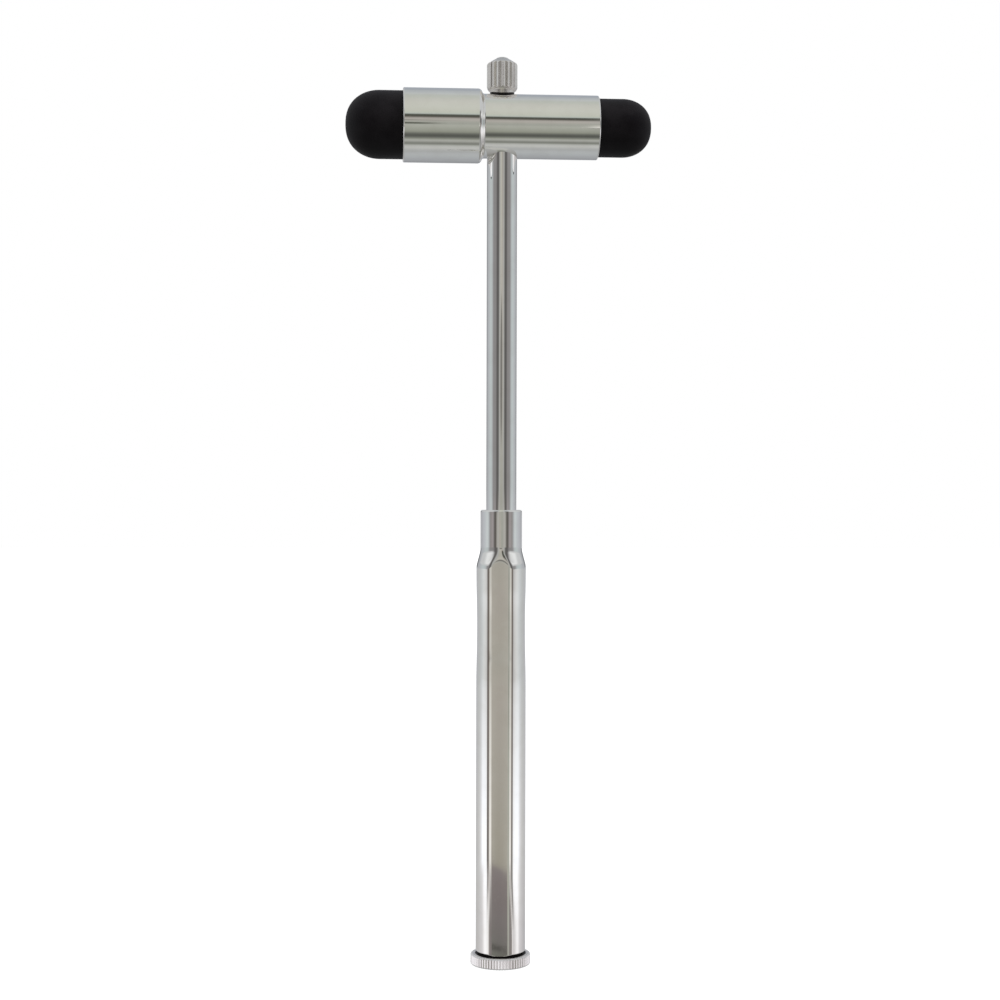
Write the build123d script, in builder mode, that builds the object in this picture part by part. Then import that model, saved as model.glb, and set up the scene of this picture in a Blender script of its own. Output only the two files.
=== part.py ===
from build123d import *

import math
import os

# A neurological reflex hammer with a needle screwed into the head and a brush
# screwed into the hollow handle. It stands upright on its end cap: the origin
# is the centre of the end cap's flat underside, +Z runs up the handle to the
# head, and +X points at the small mallet. Millimetres.

# ---------------------------------------------------------------- end cap
cap_radius = 5.95          # over the knurled rim
cap_rim_height = 2.10
cap_rim_chamfer = 0.22
cap_teeth = 64
cap_tooth_depth = 0.14
cap_neck_radius = 4.40     # recessed neck under the handle's mouth
cap_neck_top = 2.38
cap_thread_radius = 3.50   # M7 x 0.75
cap_thread_root = 3.10
cap_thread_pitch = 0.75
cap_plug_top = 9.40
cap_socket_radius = 2.05   # blind hole for the brush ferrule's shank
cap_socket_floor = 4.40

# ------------------------------------------------------------------ brush
ferrule_shank_radius = 2.00
ferrule_shank_bottom = 4.45
ferrule_radius = 2.50
ferrule_bottom = 9.45
ferrule_top = 19.50
ferrule_bore_radius = 2.15
ferrule_bore_floor = 12.00
crimp_height = 16.60
bristle_pitch = 0.47
bristle_field_radius = 1.72
bristle_base_radius = 0.17
bristle_tip_radius = 0.07
bristle_top = 46.00
bristle_splay = 0.42       # how far the outermost bristle spreads, as a ratio

# ----------------------------------------------------------------- handle
handle_bottom = 2.40
grip_radius = 4.95         # round bar with a flat along its front and its back
grip_turn = -6.40          # degrees about Z between the flats and the head's line
flat_half_width = 1.51     # of each flat, between its softened edges
edge_roll_radius = 2.90    # first part of a softened edge, next to the flat
edge_roll_sweep = 18.0
edge_turn_radius = 1.00    # second part, which runs into the round side
taper_bottom = 79.48       # where the turned taper to the collar starts
taper_top = 82.50
collar_radius = 4.13
collar_top = 90.50
collar_rounding = 0.40
mouth_radius = 3.55
mouth_depth = 8.00
brush_well_radius = 3.10
brush_well_top = 60.50
shaft_socket_bottom = 70.50

# ------------------------------------------------------------------ shaft
shaft_radius = 3.00
shaft_top = 170.90
needle_well_radius = 1.10
needle_well_bottom = 134.00
stem_well_bottom = 165.40

# ------------------------------------------------------------------- head
head_axis = 167.10         # height of the head's axis
large_radius = 7.33
large_end = -19.80
small_radius = 6.34
small_end = 19.20
lip_chamfer = 0.18
shoulder_start = -4.90
shoulder_round = 0.85      # convex round at the foot of the large barrel
shoulder_sweep = 75.0      # degrees of that round before the cove takes over
cup_depth = 10.00
knob_seat_radius = 2.80
knob_seat_height = 172.85
stem_hole_radius = 1.56

# ---------------------------------------------------------------- mallets
large_mallet_radius = 6.74
large_mallet_straight = 4.66   # straight run outside the barrel
small_mallet_radius = 5.78
small_mallet_straight = 4.92
bead_height = 0.20
bead_width = 1.20
bead_from_floor = 2.40

# --------------------------------------------------------- knob and needle
knob_radius = 3.05
knob_flutes = 20
knob_flute_depth = 0.20
knob_bottom = 172.90
knob_neck_radius = 2.25
knob_knurl_bottom = 174.65
knob_knurl_top = 179.60
knob_dome_top = 180.80
knob_button_radius = 1.00
knob_button_height = 0.12
stem_radius = 1.50         # M3 x 0.5
stem_root = 1.25
stem_pitch = 0.50
stem_bottom = 166.10
needle_radius = 0.50
needle_socket_radius = 0.55
needle_top = 170.60
needle_point = 136.60
needle_point_length = 5.00

os.makedirs("parts", exist_ok=True)


def saw_ring(radius, depth, count):
    """Corner points of a straight knurl seen end on: count rounded teeth."""
    points = []
    for i in range(count):
        for offset, r in ((0.0, radius), (0.30, radius - 0.35 * depth), (0.50, radius - depth), (0.70, radius - 0.35 * depth)):
            a = 2 * math.pi * (i + offset) / count
            points.append((r * math.cos(a), r * math.sin(a)))
    return points


def thread_outline(bottom, top, radius, root, pitch):
    """Half outline of a thread drawn as rings: (radius, height) points going up."""
    points = []
    z = bottom
    while z + pitch <= top + 1e-6:
        points += [(root, z + 0.06 * pitch), (radius, z + 0.44 * pitch), (radius, z + 0.56 * pitch), (root, z + 0.94 * pitch)]
        z += pitch
    return points


# --------------------------------------------------------------- end_cap
plug_lead = 0.45
thread_low = cap_neck_top + 0.70
thread_high = cap_plug_top - plug_lead
with BuildPart() as end_cap:
    with BuildSketch(Plane.XY):
        with BuildLine():
            Polyline(*saw_ring(cap_radius, cap_tooth_depth, cap_teeth), close=True)
        make_face()
    extrude(amount=cap_rim_height)
    with BuildSketch(Plane.XZ):
        with BuildLine():
            Polyline(
                (0, 0),
                (cap_radius - cap_rim_chamfer, 0),
                (cap_radius, cap_rim_chamfer),
                (cap_radius, cap_rim_height - cap_rim_chamfer),
                (cap_radius - cap_rim_chamfer, cap_rim_height),
                (0, cap_rim_height),
                close=True,
            )
        make_face()
    revolve(axis=Axis.Z, mode=Mode.INTERSECT)
    with BuildSketch(Plane.XZ):
        with BuildLine():
            Polyline(
                (0, cap_rim_height - 0.5),
                (cap_neck_radius, cap_rim_height - 0.5),
                (cap_neck_radius, cap_neck_top),
                (cap_thread_root, cap_neck_top),
                *thread_outline(thread_low, thread_high, cap_thread_radius, cap_thread_root, cap_thread_pitch),
                (cap_thread_root, cap_plug_top),
                (cap_socket_radius, cap_plug_top),
                (cap_socket_radius, cap_socket_floor),
                (0, cap_socket_floor),
                close=True,
            )
        make_face()
    revolve(axis=Axis.Z)
end_cap.part.label = "end_cap"
export_step(end_cap.part, "parts/end_cap.step")

# --------------------------------------------------------- brush_ferrule
with BuildPart() as brush_ferrule:
    with BuildSketch(Plane.XZ):
        with BuildLine():
            Polyline(
                (0, ferrule_shank_bottom),
                (ferrule_shank_radius - 0.25, ferrule_shank_bottom),
                (ferrule_shank_radius, ferrule_shank_bottom + 0.25),
                (ferrule_shank_radius, ferrule_bottom),
                (ferrule_radius, ferrule_bottom),
                (ferrule_radius, crimp_height - 0.80),
                (ferrule_radius - 0.16, crimp_height - 0.35),
                (ferrule_radius - 0.16, crimp_height + 0.35),
                (ferrule_radius, crimp_height + 0.80),
                (ferrule_radius, ferrule_top - 0.12),
                (ferrule_radius - 0.12, ferrule_top),
                (ferrule_bore_radius, ferrule_top),
                (ferrule_bore_radius, ferrule_bore_floor),
                (0, ferrule_bore_floor),
                close=True,
            )
        make_face()
    revolve(axis=Axis.Z)
brush_ferrule.part.label = "brush_ferrule"
export_step(brush_ferrule.part, "parts/brush_ferrule.step")

# -------------------------------------------------------- brush_bristles
bristle_roots = []
rows = int(bristle_field_radius / (bristle_pitch * math.sqrt(3) / 2)) + 1
for row in range(-rows, rows + 1):
    y = row * bristle_pitch * math.sqrt(3) / 2
    for column in range(-6, 7):
        x = (column + 0.5 * (row % 2)) * bristle_pitch
        if math.hypot(x, y) <= bristle_field_radius:
            bristle_roots.append((x, y))
bristle_length = bristle_top - ferrule_bore_floor - 0.05
with BuildPart() as brush_bristles:
    for x, y in bristle_roots:
        lean = Vector(x * bristle_splay, y * bristle_splay, bristle_length)
        reach = bristle_length * (1.0 - 0.035 * (math.hypot(x, y) / bristle_field_radius) ** 2)
        with Locations(Plane(origin=(x, y, ferrule_bore_floor + 0.05), z_dir=lean).location):
            Cone(bristle_base_radius, bristle_tip_radius, reach, align=(Align.CENTER, Align.CENTER, Align.MIN))
brush_bristles.part.label = "brush_bristles"
export_step(brush_bristles.part, "parts/brush_bristles.step")

# ---------------------------------------------------------------- handle
# The bar's section, seen end on: each flat rolls over a wide soft edge and then
# a tighter one into the round side. Angles are those of the outward normal,
# measured from the flat's own.
roll_end = math.radians(edge_roll_sweep)
turn_end = math.asin(
    (flat_half_width + (edge_roll_radius - edge_turn_radius) * math.sin(roll_end)) / (grip_radius - edge_turn_radius)
)
flat_depth = (
    grip_radius * math.cos(turn_end)
    + edge_roll_radius * (1 - math.cos(roll_end))
    + edge_turn_radius * (math.cos(roll_end) - math.cos(turn_end))
)


def edge_point(angle):
    """Point of the softened edge whose outward normal leans by angle, from the flat's end."""
    first = min(angle, roll_end)
    x = flat_half_width + edge_roll_radius * math.sin(first)
    y = flat_depth - edge_roll_radius * (1 - math.cos(first))
    if angle > roll_end:
        x += edge_turn_radius * (math.sin(angle) - math.sin(roll_end))
        y -= edge_turn_radius * (math.cos(roll_end) - math.cos(angle))
    return x, y


def on_grip(x, y):
    """A point of the section, turned about Z with the flats."""
    a = math.radians(grip_turn)
    return x * math.cos(a) - y * math.sin(a), x * math.sin(a) + y * math.cos(a)


flat_end = edge_point(0)
roll_middle, roll_last = edge_point(roll_end / 2), edge_point(roll_end)
turn_middle, turn_last = edge_point((roll_end + turn_end) / 2), edge_point(turn_end)

with BuildPart() as handle:
    with BuildSketch(Plane.XY.offset(handle_bottom)):
        with BuildLine():
            for side in (1, -1):
                # side 1 walks from the front flat over the right side, side -1 from the back flat over the left.
                Line(on_grip(-side * flat_end[0], -side * flat_end[1]), on_grip(side * flat_end[0], -side * flat_end[1]))
                ThreePointArc(
                    on_grip(side * flat_end[0], -side * flat_end[1]),
                    on_grip(side * roll_middle[0], -side * roll_middle[1]),
                    on_grip(side * roll_last[0], -side * roll_last[1]),
                )
                ThreePointArc(
                    on_grip(side * roll_last[0], -side * roll_last[1]),
                    on_grip(side * turn_middle[0], -side * turn_middle[1]),
                    on_grip(side * turn_last[0], -side * turn_last[1]),
                )
                ThreePointArc(
                    on_grip(side * turn_last[0], -side * turn_last[1]),
                    on_grip(side * grip_radius, 0),
                    on_grip(side * turn_last[0], side * turn_last[1]),
                )
                ThreePointArc(
                    on_grip(side * turn_last[0], side * turn_last[1]),
                    on_grip(side * turn_middle[0], side * turn_middle[1]),
                    on_grip(side * roll_last[0], side * roll_last[1]),
                )
                ThreePointArc(
                    on_grip(side * roll_last[0], side * roll_last[1]),
                    on_grip(side * roll_middle[0], side * roll_middle[1]),
                    on_grip(side * flat_end[0], side * flat_end[1]),
                )
        make_face()
    extrude(amount=collar_top - handle_bottom)
    # Turned outline: a small chamfer at the mouth, the taper, and the collar.
    with BuildSketch(Plane.XZ):
        with BuildLine():
            Line((0, handle_bottom), (4.62, handle_bottom))
            ThreePointArc((4.62, handle_bottom), (4.905, handle_bottom + 0.295), (5.20, handle_bottom + 0.58))
            Line((5.20, handle_bottom + 0.58), (5.20, taper_bottom - 0.90))
            # The taper is very slightly hollow, as a form tool leaves it.
            ThreePointArc(
                (5.20, taper_bottom - 0.90),
                ((5.20 + collar_radius) / 2 - 0.029, (taper_bottom - 0.90 + taper_top) / 2 - 0.008),
                (collar_radius, taper_top),
            )
            Line((collar_radius, taper_top), (collar_radius, collar_top - collar_rounding))
            RadiusArc(
                (collar_radius, collar_top - collar_rounding),
                (collar_radius - collar_rounding, collar_top),
                -collar_rounding,
            )
            Line((collar_radius - collar_rounding, collar_top), (0, collar_top))
            Line((0, collar_top), (0, handle_bottom))
        make_face()
    revolve(axis=Axis.Z, mode=Mode.INTERSECT)
    # Hollow for the brush, with the plug's mouth below and a drilled point above.
    with BuildSketch(Plane.XZ):
        with BuildLine():
            Polyline(
                (0, handle_bottom - 1),
                (mouth_radius, handle_bottom - 1),
                (mouth_radius, handle_bottom + mouth_depth),
                (brush_well_radius, handle_bottom + mouth_depth),
                (brush_well_radius, brush_well_top),
                (0, brush_well_top + brush_well_radius * math.tan(math.radians(31))),
                close=True,
            )
        make_face()
    revolve(axis=Axis.Z, mode=Mode.SUBTRACT)
    # Socket for the shaft's lower end.
    with BuildSketch(Plane.XY.offset(shaft_socket_bottom)):
        Circle(shaft_radius)
    extrude(amount=collar_top - shaft_socket_bottom + 1, mode=Mode.SUBTRACT)
handle.part.label = "handle"
export_step(handle.part, "parts/handle.step")

# ----------------------------------------------------------------- shaft
with BuildPart() as shaft:
    with BuildSketch(Plane.XZ):
        with BuildLine():
            Polyline(
                (0, shaft_socket_bottom),
                (shaft_radius - 0.30, shaft_socket_bottom),
                (shaft_radius, shaft_socket_bottom + 0.30),
                (shaft_radius, shaft_top - 0.30),
                (shaft_radius - 0.30, shaft_top),
                (stem_hole_radius, shaft_top),
                (stem_hole_radius, stem_well_bottom),
                (needle_well_radius, stem_well_bottom),
                (needle_well_radius, needle_well_bottom),
                (0, needle_well_bottom - needle_well_radius * math.tan(math.radians(31))),
                close=True,
            )
        make_face()
    revolve(axis=Axis.Z)
shaft.part.label = "shaft"
export_step(shaft.part, "parts/shaft.step")

# ------------------------------------------------------------- head_body
# The profile is drawn in X and height above the head's axis, then turned.
s = math.radians(90 - shoulder_sweep)
round_centre = (shoulder_start, large_radius - shoulder_round)
round_end = (
    round_centre[0] + shoulder_round * math.cos(s),
    round_centre[1] + shoulder_round * math.sin(s),
)
cove_radius = (round_centre[1] + shoulder_round * math.sin(s) - small_radius) / (1 - math.sin(s))
cove_end = (round_centre[0] + (shoulder_round + cove_radius) * math.cos(s), small_radius)
large_floor = large_end + cup_depth
small_floor = small_end - cup_depth
head_line = Axis((0, 0, head_axis), (1, 0, 0))
h = head_axis
with BuildPart() as head_body:
    with BuildSketch(Plane.XZ):
        with BuildLine():
            Polyline(
                (large_floor, h),
                (large_floor, h + large_mallet_radius),
                (large_floor - bead_from_floor, h + large_mallet_radius),
                (large_floor - bead_from_floor - bead_height, h + large_mallet_radius + bead_height),
                (large_floor - bead_from_floor - bead_width + bead_height, h + large_mallet_radius + bead_height),
                (large_floor - bead_from_floor - bead_width, h + large_mallet_radius),
                (large_end, h + large_mallet_radius),
                (large_end, h + large_radius - lip_chamfer),
                (large_end + lip_chamfer, h + large_radius),
                (shoulder_start, h + large_radius),
            )
            RadiusArc(
                (shoulder_start, h + large_radius),
                (round_end[0], h + round_end[1]),
                shoulder_round,
            )
            RadiusArc(
                (round_end[0], h + round_end[1]),
                (cove_end[0], h + cove_end[1]),
                -cove_radius,
            )
            Polyline(
                (cove_end[0], h + cove_end[1]),
                (small_end - lip_chamfer, h + small_radius),
                (small_end, h + small_radius - lip_chamfer),
                (small_end, h + small_mallet_radius),
                (small_floor + bead_from_floor + bead_width, h + small_mallet_radius),
                (small_floor + bead_from_floor + bead_width - bead_height, h + small_mallet_radius + bead_height),
                (small_floor + bead_from_floor + bead_height, h + small_mallet_radius + bead_height),
                (small_floor + bead_from_floor, h + small_mallet_radius),
                (small_floor, h + small_mallet_radius),
                (small_floor, h),
                (large_floor, h),
            )
        make_face()
    revolve(axis=head_line)
    # Socket for the shaft from below, the knob's stem hole and its flat seat above.
    with BuildSketch(Plane.XY.offset(h - 10)):
        Circle(shaft_radius)
    extrude(amount=shaft_top - h + 10, mode=Mode.SUBTRACT)
    with BuildSketch(Plane.XY.offset(shaft_top - 0.5)):
        Circle(stem_hole_radius)
    extrude(amount=5, mode=Mode.SUBTRACT)
    with BuildSketch(Plane.XY.offset(knob_seat_height)):
        Circle(knob_seat_radius)
    extrude(amount=3, mode=Mode.SUBTRACT)
head_body.part.label = "head_body"
export_step(head_body.part, "parts/head_body.step")

# ----------------------------------------------------------- large_mallet
large_nose = large_end - large_mallet_straight
with BuildPart() as large_mallet:
    with BuildSketch(Plane.XZ):
        with BuildLine():
            Polyline(
                (large_nose - large_mallet_radius, h),
                (large_floor, h),
                (large_floor, h + large_mallet_radius),
                (large_floor - bead_from_floor, h + large_mallet_radius),
                (large_floor - bead_from_floor - bead_height, h + large_mallet_radius + bead_height),
                (large_floor - bead_from_floor - bead_width + bead_height, h + large_mallet_radius + bead_height),
                (large_floor - bead_from_floor - bead_width, h + large_mallet_radius),
                (large_nose, h + large_mallet_radius),
            )
            RadiusArc((large_nose, h + large_mallet_radius), (large_nose - large_mallet_radius, h), -large_mallet_radius)
        make_face()
    revolve(axis=head_line)
large_mallet.part.label = "large_mallet"
export_step(large_mallet.part, "parts/large_mallet.step")

# ----------------------------------------------------------- small_mallet
small_nose = small_end + small_mallet_straight
with BuildPart() as small_mallet:
    with BuildSketch(Plane.XZ):
        with BuildLine():
            Polyline(
                (small_nose + small_mallet_radius, h),
                (small_floor, h),
                (small_floor, h + small_mallet_radius),
                (small_floor + bead_from_floor, h + small_mallet_radius),
                (small_floor + bead_from_floor + bead_height, h + small_mallet_radius + bead_height),
                (small_floor + bead_from_floor + bead_width - bead_height, h + small_mallet_radius + bead_height),
                (small_floor + bead_from_floor + bead_width, h + small_mallet_radius),
                (small_nose, h + small_mallet_radius),
            )
            RadiusArc((small_nose, h + small_mallet_radius), (small_nose + small_mallet_radius, h), small_mallet_radius)
        make_face()
    revolve(axis=head_line)
small_mallet.part.label = "small_mallet"
export_step(small_mallet.part, "parts/small_mallet.step")

# ------------------------------------------------------------ needle_knob
stem_thread_low = stem_bottom + 0.30
stem_thread_high = knob_bottom - 1.00
with BuildPart() as needle_knob:
    with BuildSketch(Plane.XY.offset(knob_knurl_bottom - 0.4)):
        with BuildLine():
            Polyline(*saw_ring(knob_radius, knob_flute_depth, knob_flutes), close=True)
        make_face()
    extrude(amount=knob_dome_top - knob_knurl_bottom + 0.5)
    # Turned outline over the flutes: the neck's cone below, the shallow dome above.
    with BuildSketch(Plane.XZ):
        with BuildLine():
            Polyline(
                (0, knob_knurl_bottom - 0.4),
                (knob_radius - 0.26, knob_knurl_bottom - 0.4),
                (knob_radius, knob_knurl_bottom),
                (knob_radius, knob_knurl_top - 0.25),
                (knob_radius - 0.25, knob_knurl_top),
            )
            ThreePointArc(
                (knob_radius - 0.25, knob_knurl_top),
                (1.95, knob_knurl_top + 0.62),
                (knob_button_radius, knob_dome_top - knob_button_height),
            )
            Polyline(
                (knob_button_radius, knob_dome_top - knob_button_height),
                (knob_button_radius, knob_dome_top),
                (0, knob_dome_top),
                (0, knob_knurl_bottom - 0.4),
            )
        make_face()
    revolve(axis=Axis.Z, mode=Mode.INTERSECT)
    with BuildSketch(Plane.XZ):
        with BuildLine():
            Polyline(
                (0, knob_knurl_bottom),
                (2.55, knob_knurl_bottom),
                (2.74, knob_knurl_bottom - 0.4),
                (knob_neck_radius, knob_bottom + 0.25),
                (knob_neck_radius, knob_bottom),
                (stem_root, knob_bottom),
                *reversed(thread_outline(stem_thread_low, stem_thread_high, stem_radius, stem_root, stem_pitch)),
                (stem_root, stem_bottom),
                (needle_socket_radius, stem_bottom),
                (needle_socket_radius, needle_top + 0.05),
                (0, needle_top + 0.05),
                close=True,
            )
        make_face()
    revolve(axis=Axis.Z)
needle_knob.part.label = "needle_knob"
export_step(needle_knob.part, "parts/needle_knob.step")

# ----------------------------------------------------------------- needle
with BuildPart() as needle:
    with BuildSketch(Plane.XZ):
        with BuildLine():
            Polyline(
                (0, needle_point),
                (0.06, needle_point),
                (needle_radius, needle_point + needle_point_length),
                (needle_radius, needle_top - 0.15),
                (needle_radius - 0.15, needle_top),
                (0, needle_top),
                close=True,
            )
        make_face()
    revolve(axis=Axis.Z)
needle.part.label = "needle"
export_step(needle.part, "parts/needle.step")
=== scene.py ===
import math

import bmesh
import bpy
import numpy as np
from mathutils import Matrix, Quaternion, Vector


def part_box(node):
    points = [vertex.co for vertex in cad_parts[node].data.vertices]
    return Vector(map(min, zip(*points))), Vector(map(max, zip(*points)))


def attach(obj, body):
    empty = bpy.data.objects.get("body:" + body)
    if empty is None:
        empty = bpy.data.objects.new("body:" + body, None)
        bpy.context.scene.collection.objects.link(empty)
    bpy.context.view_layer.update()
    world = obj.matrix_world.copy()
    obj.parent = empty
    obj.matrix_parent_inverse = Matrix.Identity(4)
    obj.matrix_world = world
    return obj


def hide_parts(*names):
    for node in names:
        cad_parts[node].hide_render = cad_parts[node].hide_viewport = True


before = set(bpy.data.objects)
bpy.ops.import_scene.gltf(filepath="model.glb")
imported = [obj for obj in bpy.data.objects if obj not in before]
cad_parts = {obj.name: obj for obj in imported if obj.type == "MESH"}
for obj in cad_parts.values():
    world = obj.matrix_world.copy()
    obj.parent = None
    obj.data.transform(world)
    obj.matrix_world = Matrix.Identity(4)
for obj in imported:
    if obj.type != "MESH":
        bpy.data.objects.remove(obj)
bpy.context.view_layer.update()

MM = 0.001
TAU = 2 * math.pi
scene = bpy.context.scene

# ------------------------------------------------------------------ where things are
# Every height and radius comes from the frame, in millimetres here.


def span(node, axis):
    low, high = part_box(node)
    return low[axis] / MM, high[axis] / MM


cap_z0, cap_z1 = span("end_cap", 2)
cap_r = span("end_cap", 0)[1]
ferrule_z0, ferrule_z1 = span("brush_ferrule", 2)
ferrule_r = span("brush_ferrule", 0)[1]
bristle_z0, bristle_z1 = span("brush_bristles", 2)
handle_z0, handle_z1 = span("handle", 2)
shaft_z0, shaft_z1 = span("shaft", 2)
shaft_r = span("shaft", 0)[1]
head_x0, head_x1 = span("head_body", 0)
head_low, head_high = span("head_body", 2)
head_axis = (head_low + head_high) / 2
big_r = (head_high - head_low) / 2
big_tip = span("large_mallet", 0)[0]
small_tip = span("small_mallet", 0)[1]
knob_z0, knob_z1 = span("needle_knob", 2)
knob_r = span("needle_knob", 0)[1]
needle_z0, needle_z1 = span("needle", 2)
needle_r = span("needle", 0)[1]


# ------------------------------------------------------------------ turned and skinned meshes
class Outline:
    """Half outline of a turned piece in (radius, height), walked with the metal on the left.
    Each run keeps its own exact normals, so a polished surface reflects cleanly and an edge stays an edge."""

    def __init__(self, r, h):
        self.at = (float(r), float(h))
        self.runs = []

    def to(self, r, h, n=1):
        (r0, h0), (r1, h1) = self.at, (float(r), float(h))
        d = math.hypot(r1 - r0, h1 - h0)
        nr, nh = (h1 - h0) / d, -(r1 - r0) / d
        self.runs.append([(r0 + (r1 - r0) * i / n, h0 + (h1 - h0) * i / n, nr, nh) for i in range(n + 1)])
        self.at = (r1, h1)
        return self

    def arc(self, centre, a0, a1, n=6):
        """Degrees. Counterclockwise is convex, clockwise is a cove."""
        radius = math.hypot(self.at[0] - centre[0], self.at[1] - centre[1])
        way = 1 if a1 > a0 else -1
        run = []
        for i in range(n + 1):
            a = math.radians(a0 + (a1 - a0) * i / n)
            run.append((centre[0] + radius * math.cos(a), centre[1] + radius * math.sin(a), way * math.cos(a), way * math.sin(a)))
        self.runs.append(run)
        self.at = run[-1][:2]
        return self

    def curve(self, points):
        """A smooth run through (radius, height) points."""
        p = np.array([self.at, *points], float)
        t = np.gradient(p, axis=0)
        t /= np.linalg.norm(t, axis=1)[:, None]
        self.runs.append([(p[i, 0], p[i, 1], t[i, 1], -t[i, 0]) for i in range(len(p))])
        self.at = tuple(p[-1])
        return self


def rings_of(outline, count):
    """The outline's runs as rings of points and normals round the Z axis."""
    a = np.arange(count) * TAU / count
    c, s = np.cos(a), np.sin(a)
    out = []
    for run in outline.runs:
        rings = []
        for r, h, nr, nh in run:
            if r < 1e-7:
                rings.append((np.array([[0, 0, h]]), np.array([[0, 0, 1.0 if nh >= 0 else -1.0]]) if abs(nh) > 0.5 else None))
            else:
                rings.append((np.stack([r * c, r * s, np.full(count, h)], 1), np.stack([nr * c, nr * s, np.full(count, nh)], 1)))
        out.append(rings)
    return out


def skin(name, runs, place=None, marks=None):
    """One closed mesh from runs of rings, in millimetres. place turns points and normals into the row frame."""
    verts, faces, normals, mark = [], [], [], []
    count = 0
    last_ids = last_points = None
    for number, run in enumerate(runs):
        before = None
        for k, (points, nrm) in enumerate(run):
            points = np.asarray(points, float)
            if k == 0 and last_points is not None and len(last_points) == len(points) and np.allclose(last_points, points, atol=1e-6):
                ids = last_ids
            else:
                ids = np.arange(count, count + len(points))
                verts.append(points)
                count += len(points)
            if nrm is None:
                nrm = np.zeros((len(points), 3))
            if before is not None:
                a, na = before
                b, nb = ids, nrm
                if len(a) == len(b):
                    n = len(a)
                    for j in range(n):
                        q = (j + 1) % n
                        faces.append((a[j], a[q], b[q], b[j]))
                        normals.extend((na[j], na[q], nb[q], nb[j]))
                        mark.append(number)
                elif len(a) == 1:
                    n = len(b)
                    for j in range(n):
                        q = (j + 1) % n
                        faces.append((a[0], b[q], b[j]))
                        tip = na[0] if np.any(na[0]) else (nb[j] + nb[q]) / 2
                        normals.extend((tip, nb[q], nb[j]))
                        mark.append(number)
                elif len(b) == 1:
                    n = len(a)
                    for j in range(n):
                        q = (j + 1) % n
                        faces.append((a[j], a[q], b[0]))
                        tip = nb[0] if np.any(nb[0]) else (na[j] + na[q]) / 2
                        normals.extend((na[j], na[q], tip))
                        mark.append(number)
                elif len(a) > len(b):
                    assert len(a) % len(b) == 0
                    step = len(a) // len(b)
                    for j in range(len(b)):
                        q = (j + 1) % len(b)
                        fine = [(j * step + i) % len(a) for i in range(step + 1)]
                        faces.append((*[a[i] for i in fine], b[q], b[j]))
                        normals.extend((*[na[i] for i in fine], nb[q], nb[j]))
                        mark.append(number)
                else:
                    assert len(b) % len(a) == 0
                    step = len(b) // len(a)
                    for j in range(len(a)):
                        q = (j + 1) % len(a)
                        fine = [(j * step + i) % len(b) for i in range(step, -1, -1)]
                        faces.append((a[j], a[q], *[b[i] for i in fine]))
                        normals.extend((na[j], na[q], *[nb[i] for i in fine]))
                        mark.append(number)
            before = (ids, nrm)
            last_ids, last_points = ids, points
    points = np.concatenate(verts)
    normals = np.array(normals, float)
    if place is not None:
        points, normals = place(points, True), place(normals, False)
    length = np.linalg.norm(normals, axis=1)
    normals = normals / np.where(length < 1e-9, 1, length)[:, None]
    mesh = bpy.data.meshes.new(name)
    mesh.from_pydata((points * MM).tolist(), [], [tuple(int(i) for i in f) for f in faces])
    mesh.polygons.foreach_set("use_smooth", [True] * len(mesh.polygons))
    if marks is not None:
        marks.extend(mark)
    mesh.normals_split_custom_set(normals.tolist())
    mesh.update()
    piece = bpy.data.objects.new(name, mesh)
    scene.collection.objects.link(piece)
    return piece


def along_x(p, is_point):
    """Turned pieces of the head: the turning axis becomes +X at the head's height."""
    q = np.stack([p[:, 2], p[:, 0], p[:, 1]], 1)
    if is_point:
        q[:, 2] += head_axis
    return q


def soft_min(a, b, k):
    h = np.maximum(k - np.abs(a - b), 0) / k
    return np.minimum(a, b) - h * h * k / 4


def radial_rings(angles, heights, radius):
    """Rings of a surface given as radius(angle, height), with normals from its own slopes."""
    rings = []
    da, dh = 1e-4, 1e-3
    for h in heights:
        r = radius(angles, h)
        ra = (radius(angles + da, h) - radius(angles - da, h)) / (2 * da)
        rh = (radius(angles, h + dh) - radius(angles, h - dh)) / (2 * dh)
        c, s = np.cos(angles), np.sin(angles)
        points = np.stack([r * c, r * s, np.full(len(angles), h)], 1)
        nrm = np.stack([r * c + ra * s, r * s - ra * c, -r * rh], 1)
        nrm /= np.linalg.norm(nrm, axis=1)[:, None]
        rings.append((points, nrm))
    return rings


def flat_ring(points, up):
    return points, np.tile([0.0, 0.0, float(up)], (len(points), 1))


def circle(angles, r, h):
    return np.stack([r * np.cos(angles), r * np.sin(angles), np.full(len(angles), float(h))], 1)


def wall(angles, r, h, sign):
    return circle(angles, r, h), np.stack([sign * np.cos(angles), sign * np.sin(angles), np.zeros(len(angles))], 1)


# ------------------------------------------------------------------ materials
def nodes_of(name):
    m = bpy.data.materials.new(name)
    m.use_nodes = True
    t = m.node_tree
    t.nodes.clear()
    out = t.nodes.new("ShaderNodeOutputMaterial")
    bsdf = t.nodes.new("ShaderNodeBsdfPrincipled")
    t.links.new(bsdf.outputs[0], out.inputs[0])
    return m, t, bsdf


def new(t, kind, **values):
    n = t.nodes.new(kind)
    for k, v in values.items():
        setattr(n, k, v)
    return n


def math_node(t, op, a, b=None, c=None, clamp=False):
    n = new(t, "ShaderNodeMath", operation=op, use_clamp=clamp)
    for i, v in enumerate((a, b, c)):
        if v is None:
            continue
        if isinstance(v, (int, float)):
            n.inputs[i].default_value = v
        else:
            t.links.new(v, n.inputs[i])
    return n.outputs[0]


def place_coords(t, scale=(1, 1, 1)):
    """The piece's own coordinates, stretched, so detail moves with the piece."""
    c = new(t, "ShaderNodeTexCoord")
    m = new(t, "ShaderNodeMapping")
    m.inputs["Scale"].default_value = scale
    t.links.new(c.outputs["Object"], m.inputs["Vector"])
    return m.outputs["Vector"]


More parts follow.
